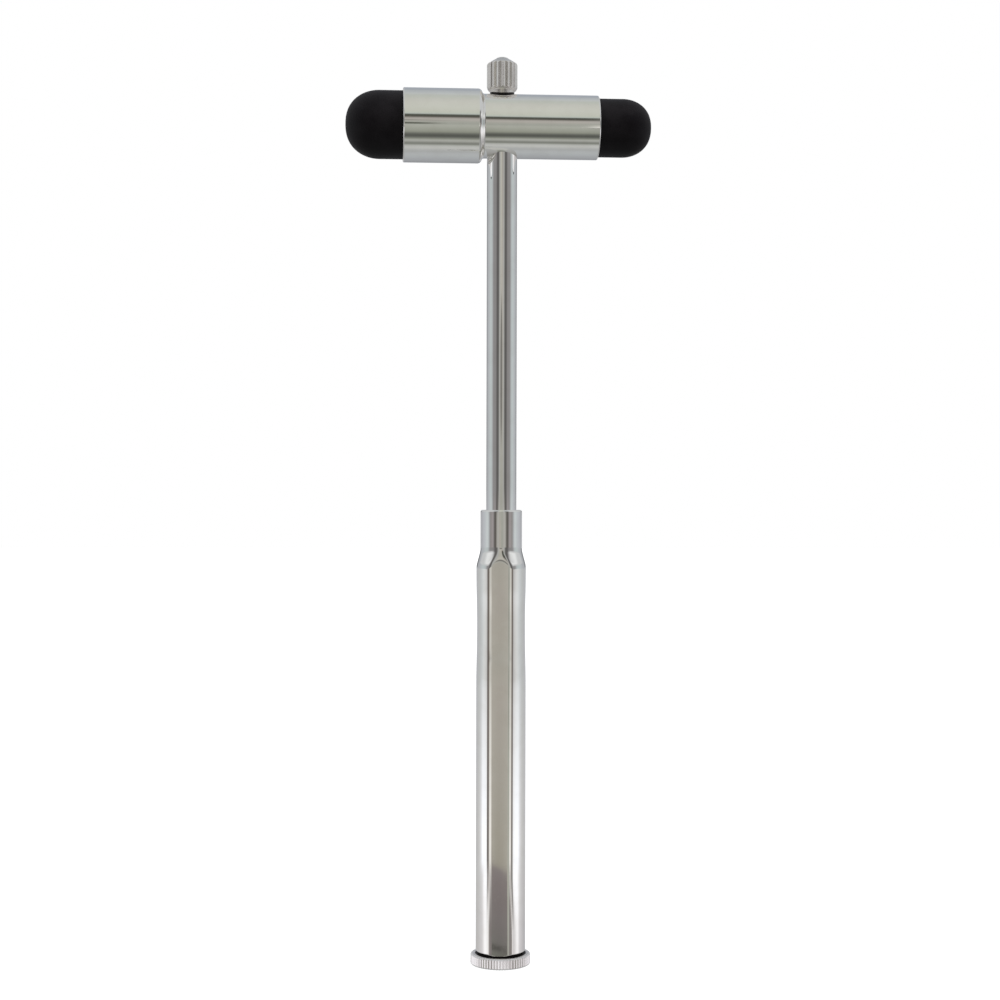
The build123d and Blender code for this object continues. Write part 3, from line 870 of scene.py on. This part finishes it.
def knob_radius(a, z):
    """Rounded flutes that fade out over the shoulder above and the neck's cone below."""
    dome = np.interp(z, [knurl_high - 0.34, knurl_high - 0.16, knurl_high, knurl_high + 0.10], [knob_r, knob_r - 0.06, knob_r - 0.22, knob_r - 0.42])
    cone = np.interp(z, [knurl_low - 0.42, knurl_low - 0.12, knurl_low + 0.12], [knob_r - 0.30, knob_r - 0.10, knob_r])
    body = min(float(dome), float(cone))
    groove = 0.20 * (0.5 - 0.5 * np.cos(flutes * a)) ** 0.75
    return np.minimum(np.full_like(a, body), knob_r - groove)


knurl_z = np.concatenate([np.linspace(knurl_low - 0.42, knurl_low + 0.2, 9), np.linspace(knurl_low + 0.6, knurl_high - 0.6, 8), np.linspace(knurl_high - 0.42, knurl_high + 0.10, 11)])
knurl = radial_rings(knob_angles, knurl_z, knob_radius)
few = np.arange(72) * TAU / 72


def ring72(r, z, nr, nz):
    length = math.hypot(nr, nz)
    return circle(few, r, z), np.stack([nr / length * np.cos(few), nr / length * np.sin(few), np.full(72, nz / length)], 1)


def dome_ring(angles, r, z, nr, nz):
    length = math.hypot(nr, nz)
    return circle(angles, r, z), np.stack([nr / length * np.cos(angles), nr / length * np.sin(angles), np.full(len(angles), nz / length)], 1)


dome_points = [(knob_r - 0.42, knurl_high + 0.10)]
button_z = knob_z1 - 0.30
for i in range(1, 13):
    t = i / 12
    r = (knob_r - 0.42) * (1 - t) + 1.30 * t
    z = knurl_high + 0.10 + (button_z - knurl_high - 0.10) * (0.35 * math.sin(t * math.pi / 2) + 0.65 * t)
    dome_points.append((r, z))
dome = []
for i, (r, z) in enumerate(dome_points):
    a = dome_points[max(i - 1, 0)]
    b = dome_points[min(i + 1, len(dome_points) - 1)]
    dome.append(dome_ring(knob_angles, r, z, b[1] - a[1], a[0] - b[0]))
stem_z0, stem_z1 = knob_z0 + 0.25, 172.10
stem_heights = np.arange(stem_z0, stem_z1 + 1e-6, stem_pitch / 10)
stem = radial_rings(few, stem_heights, lambda a, z: male_thread(a, z, stem_z0, stem_z1, stem_r, stem_root, stem_pitch))
neck_r0, seat = 2.44, seat_z + 0.05
knob_runs = [
    [(np.array([[0, 0, needle_z1 + 0.05]]), np.array([[0, 0, -1.0]])), ring72(pin_hole, needle_z1 + 0.05, 0, -1)],
    [wall(few, pin_hole, needle_z1 + 0.05, -1), wall(few, pin_hole, knob_z0, -1)],
    [ring72(pin_hole, knob_z0, 0, -1), ring72(stem_root - 0.2, knob_z0, 0, -1)],
    [ring72(stem_root - 0.2, knob_z0, 0.7, -0.7), ring72(stem_root, stem_z0, 0.7, -0.7)],
    stem,
    [wall(few, stem_root, stem_z1, 1), wall(few, stem_root, seat, 1)],
    [ring72(stem_root, seat, 0, -1), ring72(neck_r0 - 0.08, seat, 0, -1)],
    [ring72(neck_r0 - 0.08, seat, 1, -1), ring72(neck_r0, seat + 0.08, 1, -1)],
    [ring72(neck_r0, seat + 0.08, 1, 0), ring72(neck_r0, knurl_low - 0.60, 1, 0)],
    [ring72(neck_r0, knurl_low - 0.60, 1, -1.2), ring72(knob_r - 0.30, knurl_low - 0.42, 1, -1.2)],
    [(circle(few, knob_r - 0.30, knurl_low - 0.42), ring72(1, 0, 1, -1.2)[1]), knurl[0]],
    knurl,
    dome,
    [dome_ring(knob_angles, 1.30, button_z, 0.7, 0.7), dome_ring(knob_angles, 1.18, button_z + 0.16, 0.6, 0.8)],
    [dome_ring(knob_angles, 1.18, button_z + 0.16, 0.6, 0.8), dome_ring(knob_angles, 0.85, knob_z1, 0.12, 1)],
    [dome_ring(knob_angles, 0.85, knob_z1, 0, 1), dome_ring(knob_angles, 0.3, knob_z1, 0, 1), (np.array([[0, 0, knob_z1]]), np.array([[0, 0, 1.0]]))],
]
knob = skin("fluted_knob", knob_runs)
give(knob, satin_knob, "knob", "satin_nickel", "needle_knob")

# ------------------------------------------------------------------ floor
def floor_piece():
    n, half = 2, 3.0
    mesh = bpy.data.meshes.new("floor")
    mesh.from_pydata([(-half, -half, 0), (half, -half, 0), (half, half, 0), (-half, half, 0)], [], [(0, 1, 2, 3)])
    piece = bpy.data.objects.new("floor", mesh)
    scene.collection.objects.link(piece)
    m, t, b = nodes_of("floor_pale")
    own = place_coords(t)
    t.links.new(mix_colour(t, noise(t, own, 3.0, 2.0), (0.40, 0.40, 0.40), (0.42, 0.42, 0.42)), b.inputs["Base Color"])
    b.inputs["Roughness"].default_value = 0.9
    b.inputs["Specular IOR Level"].default_value = 0.0
    b.inputs["Emission Color"].default_value = (1, 1, 1, 1)
    b.inputs["Emission Strength"].default_value = 0.72
    piece.data.materials.append(m)
    piece.visible_glossy = False
    piece.visible_diffuse = False
    return piece


floor = floor_piece()

# ------------------------------------------------------------------ light
# The studio as the polished metal sees it, by direction. Front is where the viewer stands. VIEW is the azimuth
# of the front in degrees. Values are 0 to 255 as seen on the plate.
VIEW = -3.8
view_a = math.radians(VIEW)
to_front = Vector((math.sin(view_a), -math.cos(view_a), 0))
to_right = Vector((math.cos(view_a), math.sin(view_a), 0))


def linear(v, over):
    v = v / 255
    v = v / 12.92 if v <= 0.04045 else ((v + 0.055) / 1.055) ** 2.4
    return v / over


def seen_as(stop):
    """A stop's colour, raised by what the plate takes from each channel."""
    return (*[linear(v, over) for v, over in zip(stop[1:4], (0.93, 0.906, 0.856))], 1)


# (angle from the front in the level plane, r, g, b), the same on both sides, at five heights: above the viewer's
# level, just under it, a few degrees down, well down where the walls beside the table are brightest, and at their foot.
LEVEL_UP = [
    (0, 165, 164, 157), (12, 165, 164, 157), (16, 170, 168, 162), (20, 130, 129, 124), (24, 99, 97, 93), (29, 91, 89, 85), (35, 93, 90, 88),
    (39, 112, 109, 107), (46, 134, 131, 128), (56, 135, 132, 129), (64, 137, 134, 132), (70, 149, 148, 146), (76, 172, 175, 173),
    (84, 181, 187, 184), (96, 184, 190, 187), (108, 180, 183, 182), (120, 173, 175, 175), (132, 170, 171, 171), (143, 162, 163, 164),
    (147, 122, 122, 121), (154, 114, 114, 113), (158, 132, 132, 131), (164, 154, 153, 151), (180, 160, 159, 156),
]
LEVEL_UNDER = [
    (0, 163, 161, 152), (12, 167, 164, 156), (19, 172, 169, 160), (25, 150, 147, 139), (29, 104, 100, 94), (33, 90, 86, 80), (37, 94, 90, 85),
    (41, 120, 116, 112), (46, 150, 143, 141), (52, 152, 145, 142), (60, 140, 135, 131), (66, 146, 143, 140), (72, 168, 170, 169), (78, 190, 194, 191),
    (86, 196, 200, 197), (96, 188, 191, 190), (108, 182, 184, 184), (120, 179, 180, 181), (130, 172, 172, 173), (143, 168, 168, 168),
    (160, 176, 176, 176), (180, 182, 182, 182),
]
LEVEL_DOWN = [
    (0, 163, 158, 147), (5, 168, 162, 151), (9, 186, 181, 169), (12, 196, 192, 180), (20, 196, 192, 182), (25, 168, 162, 153), (29, 118, 110, 102),
    (34, 98, 92, 84), (40, 99, 94, 87), (44, 118, 112, 106), (50, 152, 148, 143), (60, 178, 175, 171), (68, 198, 196, 191), (76, 208, 207, 202),
    (86, 208, 209, 205), (96, 198, 200, 197), (108, 188, 189, 186), (120, 183, 184, 180), (132, 180, 180, 178), (143, 178, 177, 176),
    (160, 184, 184, 183), (180, 190, 190, 188),
]
LEVEL_LOW = [
    (0, 161, 155, 143), (3, 168, 161, 150), (6, 196, 190, 178), (9, 228, 223, 212), (12, 234, 229, 219), (20, 234, 229, 220), (25, 182, 176, 168),
    (29, 116, 110, 103), (34, 100, 94, 88), (41, 102, 96, 91), (45, 128, 123, 118), (50, 186, 183, 180), (58, 236, 234, 231), (66, 251, 250, 248),
    (73, 255, 255, 255), (90, 255, 255, 255), (97, 230, 228, 227), (106, 210, 208, 205), (114, 200, 198, 194), (122, 194, 192, 187),
    (132, 188, 186, 183), (143, 186, 184, 181), (158, 188, 186, 183), (180, 192, 190, 187),
]
# Near the floor the same pattern stands further out, with the dark line and then without it.
FOOT_RIGHT = [
    (0, 134, 128, 124), (3, 140, 134, 129), (6, 156, 150, 144), (9, 176, 171, 165), (12, 190, 185, 178), (20, 192, 187, 180), (25, 166, 161, 155),
    (30, 130, 125, 120), (36, 110, 106, 101), (44, 114, 110, 105), (49, 150, 146, 142), (56, 228, 225, 222), (63, 254, 252, 250), (84, 254, 252, 250),
    (93, 232, 229, 226), (102, 208, 206, 202), (112, 198, 195, 192), (130, 186, 183, 180), (143, 184, 181, 178), (180, 188, 186, 182),
]
FOOT_RIGHT_OPEN = [
    (0, 132, 126, 121), (3, 140, 134, 129), (6, 156, 150, 145), (9, 180, 174, 169), (12, 212, 207, 202), (16, 228, 223, 218), (22, 220, 215, 210),
    (32, 206, 201, 197), (45, 205, 200, 197), (58, 222, 218, 214), (70, 240, 236, 233), (82, 244, 240, 237), (92, 222, 218, 215), (102, 204, 200, 198),
    (114, 196, 192, 190), (130, 182, 179, 177), (143, 178, 175, 174), (180, 184, 182, 180),
]
FOOT_LEFT = [
    (0, 150, 144, 140), (3, 156, 150, 145), (7, 172, 166, 160), (11, 190, 184, 178), (20, 194, 188, 182), (26, 172, 166, 161), (32, 150, 145, 140),
    (37, 148, 143, 139), (42, 172, 168, 164), (49, 226, 223, 219), (58, 254, 252, 250), (80, 254, 252, 250), (90, 226, 223, 220), (98, 211, 208, 205),
    (112, 199, 197, 193), (130, 190, 188, 184), (143, 188, 186, 182), (180, 190, 188, 184),
]
FOOT_LEFT_OPEN = [
    (0, 126, 119, 115), (3, 130, 124, 119), (6, 144, 138, 133), (9, 172, 166, 160), (12, 208, 203, 197), (16, 234, 230, 225), (22, 240, 237, 232),
    (34, 236, 233, 228), (48, 246, 243, 239), (58, 250, 247, 244), (72, 246, 243, 239), (82, 226, 222, 218), (92, 208, 204, 201), (104, 202, 198, 195),
    (120, 192, 189, 185), (132, 187, 184, 180), (143, 184, 181, 177), (180, 188, 186, 182),
]
# (angle above the front in the upright plane through the viewer, up over the top to 180 behind and down to -180)
UPRIGHT = [
    (-180, 140, 140, 140), (-170, 143, 143, 143), (-158, 150, 151, 151), (-147, 157, 158, 158), (-138, 160, 161, 160), (-130, 165, 167, 166),
    (-122, 168, 170, 168), (-115, 171, 173, 170), (-107, 170, 171, 169), (-100, 165, 166, 162), (-94, 169, 169, 165), (-88, 179, 179, 173),
    (-83.5, 185, 184, 177), (-79, 179, 179, 172), (-75.5, 168, 168, 160), (-72, 138, 139, 130), (-69, 120, 121, 112), (-65, 135, 135, 127),
    (-61.5, 156, 156, 147), (-58, 166, 166, 157), (-54.5, 149, 150, 138), (-51.3, 125, 126, 115), (-48, 103, 104, 96), (-45, 87, 88, 81),
    (-42, 84, 85, 78), (-39, 93, 94, 86), (-35.6, 109, 110, 101), (-32.5, 130, 131, 119), (-30, 141, 142, 128), (-27, 147, 148, 135),
    (-24, 151, 152, 139), (-20.5, 155, 156, 143), (-17.5, 159, 160, 147), (-14.3, 163, 163, 151), (-11, 165, 165, 153), (-8.5, 162, 163, 151),
    (-6, 157, 157, 146), (-3, 158, 158, 147), (0, 161, 160, 149), (3.5, 166, 162, 152), (6.8, 172, 167, 157), (10.5, 162, 157, 148),
    (13.2, 138, 132, 123), (15, 84, 82, 74), (20.6, 76, 77, 69), (22.4, 104, 108, 99), (24.4, 176, 180, 171), (28.5, 186, 189, 174),
    (35, 190, 190, 176), (48, 193, 193, 180), (62, 193, 192, 180), (74, 190, 189, 178), (80, 187, 187, 176), (87, 183, 185, 174), (95, 181, 183, 174),
    (102, 184, 186, 182), (108, 179, 182, 179), (114, 174, 177, 176), (121, 171, 174, 173), (130, 159, 163, 166), (150, 160, 164, 168), (180, 150, 153, 158),
]
# The same plane as the handle's front flat has it, low down: a pale table, its slanting far edge, and its dark front.
TABLE = [
    (-16, 100, 100, 90), (-14.6, 104, 104, 94), (-13.9, 113, 108, 104), (-12.9, 118, 110, 107), (-12.2, 122, 113, 110), (-11.80, 125, 117, 114),
    (-11.72, 150, 144, 129), (-11, 153, 147, 133), (-9, 159, 153, 141), (-6.4, 162, 155, 144), (-3.9, 162, 156, 144), (-2.4, 160, 155, 143), (0, 165, 162, 153),
]


def ramp(t, value, stops, low, high):
    stops = sorted(stops)
    if len(stops) > 30:
        # One ramp holds 32 stops, so a longer list is two of them that share the middle one.
        middle = len(stops) // 2
        past = math_node(t, "GREATER_THAN", value, (stops[middle][0] - low) / (high - low))
        return mix_colour(t, past, ramp(t, value, stops[: middle + 1], low, high), ramp(t, value, stops[middle:], low, high))
    n = new(t, "ShaderNodeValToRGB")
    n.color_ramp.interpolation = "LINEAR"
    e = n.color_ramp.elements
    while len(e) > 1:
        e.remove(e[-1])
    e[0].position = (stops[0][0] - low) / (high - low)
    e[0].color = seen_as(stops[0])
    for s in stops[1:]:
        x = e.new((s[0] - low) / (high - low))
        x.color = seen_as(s)
    t.links.new(value, n.inputs[0])
    return n.outputs[0]


def studio():
    world = bpy.data.worlds.new("studio")
    scene.world = world
    world.use_nodes = True
    t = world.node_tree
    t.nodes.clear()
    out = new(t, "ShaderNodeOutputWorld")
    coords = new(t, "ShaderNodeTexCoord")

    def dot(v):
        n = new(t, "ShaderNodeVectorMath", operation="DOT_PRODUCT")
        t.links.new(coords.outputs["Generated"], n.inputs[0])
        n.inputs[1].default_value = v
        return n.outputs["Value"]

    front, right, up = dot(to_front), dot(to_right), dot((0, 0, 1))
    side = math_node(t, "ABSOLUTE", right)
    degrees = 180 / math.pi
    round_angle = math_node(t, "MULTIPLY", math_node(t, "ARCTAN2", side, front), degrees)
    signed = math_node(t, "MULTIPLY", math_node(t, "ARCTAN2", right, front), degrees)
    over_angle = math_node(t, "MULTIPLY", math_node(t, "ARCTAN2", up, front), degrees)
    rise_angle = math_node(t, "MULTIPLY", math_node(t, "ARCSINE", up), degrees)
    on_left = map_range(t, signed, -6.0, -4.5, 1.0, 0.0)
    # Low down the pattern on the left stands a little further out, and near the floor both sides fan out.
    spread = math_node(t, "MULTIPLY", math_node(t, "MULTIPLY", on_left, map_range(t, rise_angle, -2.6, -1.7, 1.0, 0.0)), 4.5)
    fan = mix_value(t, on_left, map_range(t, rise_angle, -13.9, -12.1, 31.0, 0.0), map_range(t, rise_angle, -13.5, -11.4, 19.0, 0.0))
    turned = math_node(t, "MAXIMUM", math_node(t, "SUBTRACT", round_angle, spread), 0.0)
    fan = math_node(t, "MULTIPLY", fan, map_range(t, round_angle, 50.0, 100.0, 1.0, 0.0))
    fanned = math_node(t, "MAXIMUM", math_node(t, "SUBTRACT", round_angle, fan), 0.0)
    part_turn = math_node(t, "DIVIDE", turned, 180.0)
    up_part, under, down, low = [ramp(t, part_turn, stops, 0, 180) for stops in (LEVEL_UP, LEVEL_UNDER, LEVEL_DOWN, LEVEL_LOW)]
    feet = [ramp(t, math_node(t, "DIVIDE", fanned, 180.0), stops, 0, 180) for stops in (FOOT_RIGHT, FOOT_RIGHT_OPEN, FOOT_LEFT, FOOT_LEFT_OPEN)]
    foot_right = mix_colour(t, map_range(t, rise_angle, -13.7, -12.7, 1.0, 0.0), feet[0], feet[1])
    foot_left = mix_colour(t, map_range(t, rise_angle, -13.6, -12.3, 1.0, 0.0), feet[2], feet[3])
    foot = mix_colour(t, on_left, foot_right, foot_left)
    level = mix_colour(t, map_range(t, rise_angle, -0.6, 0.4, 0.0, 1.0), under, up_part)
    level = mix_colour(t, map_range(t, rise_angle, -2.3, -1.7, 1.0, 0.0), level, down)
    level = mix_colour(t, map_range(t, rise_angle, -10.5, -4.6, 1.0, 0.0), level, low)
    level = mix_colour(t, map_range(t, rise_angle, -12.0, -11.5, 1.0, 0.0), level, foot)
    # The viewer's own dark outline, seen only in the middle of the shaft.
    shade_x = math_node(t, "DIVIDE", math_node(t, "ADD", signed, 2.0), 8.0)
    shade_y = math_node(t, "DIVIDE", math_node(t, "SUBTRACT", rise_angle, 4.2), 2.5)
    shade = math_node(t, "ADD", math_node(t, "MULTIPLY", shade_x, shade_x), math_node(t, "MULTIPLY", shade_y, shade_y))
    upright = ramp(t, math_node(t, "DIVIDE", math_node(t, "ADD", over_angle, 180.0), 360.0), UPRIGHT, -180, 180)
    # The table's far edge runs at a slant, so the dark front of it starts lower on the right.
    slanted = math_node(t, "ADD", rise_angle, math_node(t, "MULTIPLY", math_node(t, "ADD", signed, 5.2), 0.53))
    table = ramp(t, math_node(t, "DIVIDE", math_node(t, "ADD", slanted, 16.0), 16.0), TABLE, -16, 0)
    seam = math_node(t, "ABSOLUTE", math_node(t, "ADD", math_node(t, "ADD", rise_angle, 14.24), math_node(t, "MULTIPLY", math_node(t, "ADD", signed, 5.2), 0.27)))
    ahead = map_range(t, front, 0.2, 0.3, 0.0, 1.0)
    at_table = math_node(t, "MULTIPLY", math_node(t, "MULTIPLY", map_range(t, signed, -2.0, 0.5, 1.0, 0.0), map_range(t, rise_angle, -0.9, -0.3, 1.0, 0.0)), ahead)
    at_table = math_node(t, "MULTIPLY", at_table, map_range(t, rise_angle, -17.0, -15.5, 0.0, 1.0))
    # The flat is a little lighter towards its two sides.
    across = map_range(t, math_node(t, "ABSOLUTE", math_node(t, "ADD", signed, 5.2)), 0.04, 0.32, 0.0, 1.0, True)
    across = math_node(t, "MULTIPLY", across, map_range(t, slanted, -11.8, -11.7, 0.10, 0.80))
    table = mix_colour(t, across, table, (0.440, 0.424, 0.380))
    table = mix_colour(t, map_range(t, seam, 0.035, 0.11, 0.85, 0.0), table, (0.050, 0.045, 0.043))
    upright = mix_colour(t, at_table, upright, table)
    # The thin dark beam overhead stands to the right, so the head shows it and the top of the flat hardly does.
    beam = math_node(t, "MULTIPLY", map_range(t, math_node(t, "ABSOLUTE", math_node(t, "ADD", signed, 6.0)), 7.0, 8.4, 0.85, 0.0), map_range(t, math_node(t, "ABSOLUTE", math_node(t, "SUBTRACT", over_angle, 18.0)), 9.0, 14.0, 1.0, 0.0))
    upright = mix_colour(t, beam, upright, (0.50, 0.49, 0.44))
    # A second, short one lies lower down, and only the large end shows it.
    short = math_node(t, "MULTIPLY", map_range(t, math_node(t, "ABSOLUTE", math_node(t, "ADD", over_angle, 5.0)), 1.2, 3.6, 0.85, 0.0), ahead)
    short = math_node(t, "MULTIPLY", short, math_node(t, "MULTIPLY", map_range(t, right, 0.086, 0.100, 1.0, 0.0), map_range(t, right, 0.060, 0.068, 0.0, 1.0)))
    upright = mix_colour(t, short, upright, (0.050, 0.056, 0.040))
    upright = mix_colour(t, map_range(t, shade, 0.55, 1.15, 0.85, 0.0), upright, (0.165, 0.160, 0.150))
    # Away from both planes: a pale ceiling and a darker lower half, with a pair of bright boxes to each side.
    high = ramp(t, map_range(t, up, -1.0, 1.0, 0.0, 1.0), [(-1, 168, 168, 164), (-0.75, 142, 141, 136), (-0.45, 132, 131, 126), (0.45, 186, 186, 182), (0.8, 194, 194, 191), (1, 184, 186, 184)], -1, 1)
    steep = math_node(t, "MAXIMUM", map_range(t, up, 0.50, 0.66, 0.0, 1.0, True), map_range(t, up, -0.62, -0.32, 1.0, 0.0, True))
    lift = math_node(t, "MULTIPLY", map_range(t, up, 0.188, 0.24, 0.0, 0.8), map_range(t, round_angle, 38.0, 52.0, 0.0, 1.0))
    sides = mix_colour(t, steep, mix_colour(t, lift, level, (0.60, 0.61, 0.62)), high)
    tall = math_node(t, "ABSOLUTE", up)
    boxed = math_node(t, "MULTIPLY", map_range(t, math_node(t, "ABSOLUTE", math_node(t, "SUBTRACT", round_angle, 66.0)), 8.0, 36.0, 1.0, 0.0, True), map_range(t, tall, 0.24, 0.36, 0.0, 1.0, True))
    boxed = math_node(t, "MULTIPLY", boxed, map_range(t, tall, 0.37, 0.47, 0.50, 0.0, True))
    sides = mix_colour(t, boxed, sides, (1.05, 1.07, 1.08))
    # The upright plane's own stops keep to a narrow strip, and to the flat's own width just above the table.
    narrow = map_range(t, math_node(t, "ABSOLUTE", math_node(t, "ADD", rise_angle, 8.5)), 6.0, 7.2, 1.0, 0.0)
    narrow = math_node(t, "MULTIPLY", narrow, ahead)
    left_half = math_node(t, "LESS_THAN", right, 0.0)
    wedge_low = mix_value(t, left_half, 0.176, math_node(t, "SUBTRACT", 0.155, math_node(t, "MULTIPLY", narrow, 0.050)))
    wedge_high = math_node(t, "SUBTRACT", 0.215, math_node(t, "MULTIPLY", narrow, mix_value(t, left_half, 0.027, 0.095)))
    wedge = map_range(t, side, wedge_low, wedge_high, 1.0, 0.0)
    seen = mix_colour(t, wedge, sides, upright)
    path = new(t, "ShaderNodeLightPath")
    glow = new(t, "ShaderNodeBackground")
    t.links.new(seen, glow.inputs[0])
    white = new(t, "ShaderNodeBackground")
    white.inputs[0].default_value = (1, 1, 1, 1)
    pick = new(t, "ShaderNodeMixShader")
    t.links.new(path.outputs["Is Camera Ray"], pick.inputs[0])
    t.links.new(glow.outputs[0], pick.inputs[1])
    t.links.new(white.outputs[0], pick.inputs[2])
    t.links.new(pick.outputs[0], out.inputs[0])


studio()


def lamp(name, kind, energy, location, aim, size=None, angle=None, glossy=False):
    data = bpy.data.lights.new(name, kind)
    data.energy = energy
    if kind == "AREA":
        data.shape = "DISK"
        data.size = size
    if kind == "SUN" and angle is not None:
        data.angle = angle
    o = bpy.data.objects.new(name, data)
    scene.collection.objects.link(o)
    o.location = location
    o.rotation_mode = "QUATERNION"
    o.rotation_quaternion = (Vector(aim) - Vector(location)).to_track_quat("-Z", "Y")
    o.visible_glossy = glossy
    return o


lamp("soft_sky", "SUN", 2.3, (0.2, -0.3, 1.0), (0, 0, 0), angle=math.radians(70))

# ------------------------------------------------------------------ camera
cam_data = bpy.data.cameras.new("camera")
cam_data.lens = 63.6
cam_data.sensor_width = 36.0
cam_data.clip_start, cam_data.clip_end = 0.01, 20
cam = bpy.data.objects.new("camera", cam_data)
scene.collection.objects.link(cam)
target = to_right * -0.00026 + Vector((0.0, 0.0, 0.09248))
cam.location = target + to_front * 0.353
cam.rotation_mode = "QUATERNION"
cam.rotation_quaternion = (-to_front).to_track_quat("-Z", "Y") @ Quaternion((0, 0, 1), math.radians(0.12))
scene.camera = cam
scene.view_settings.view_transform = "Standard"
scene.view_settings.look = "None"
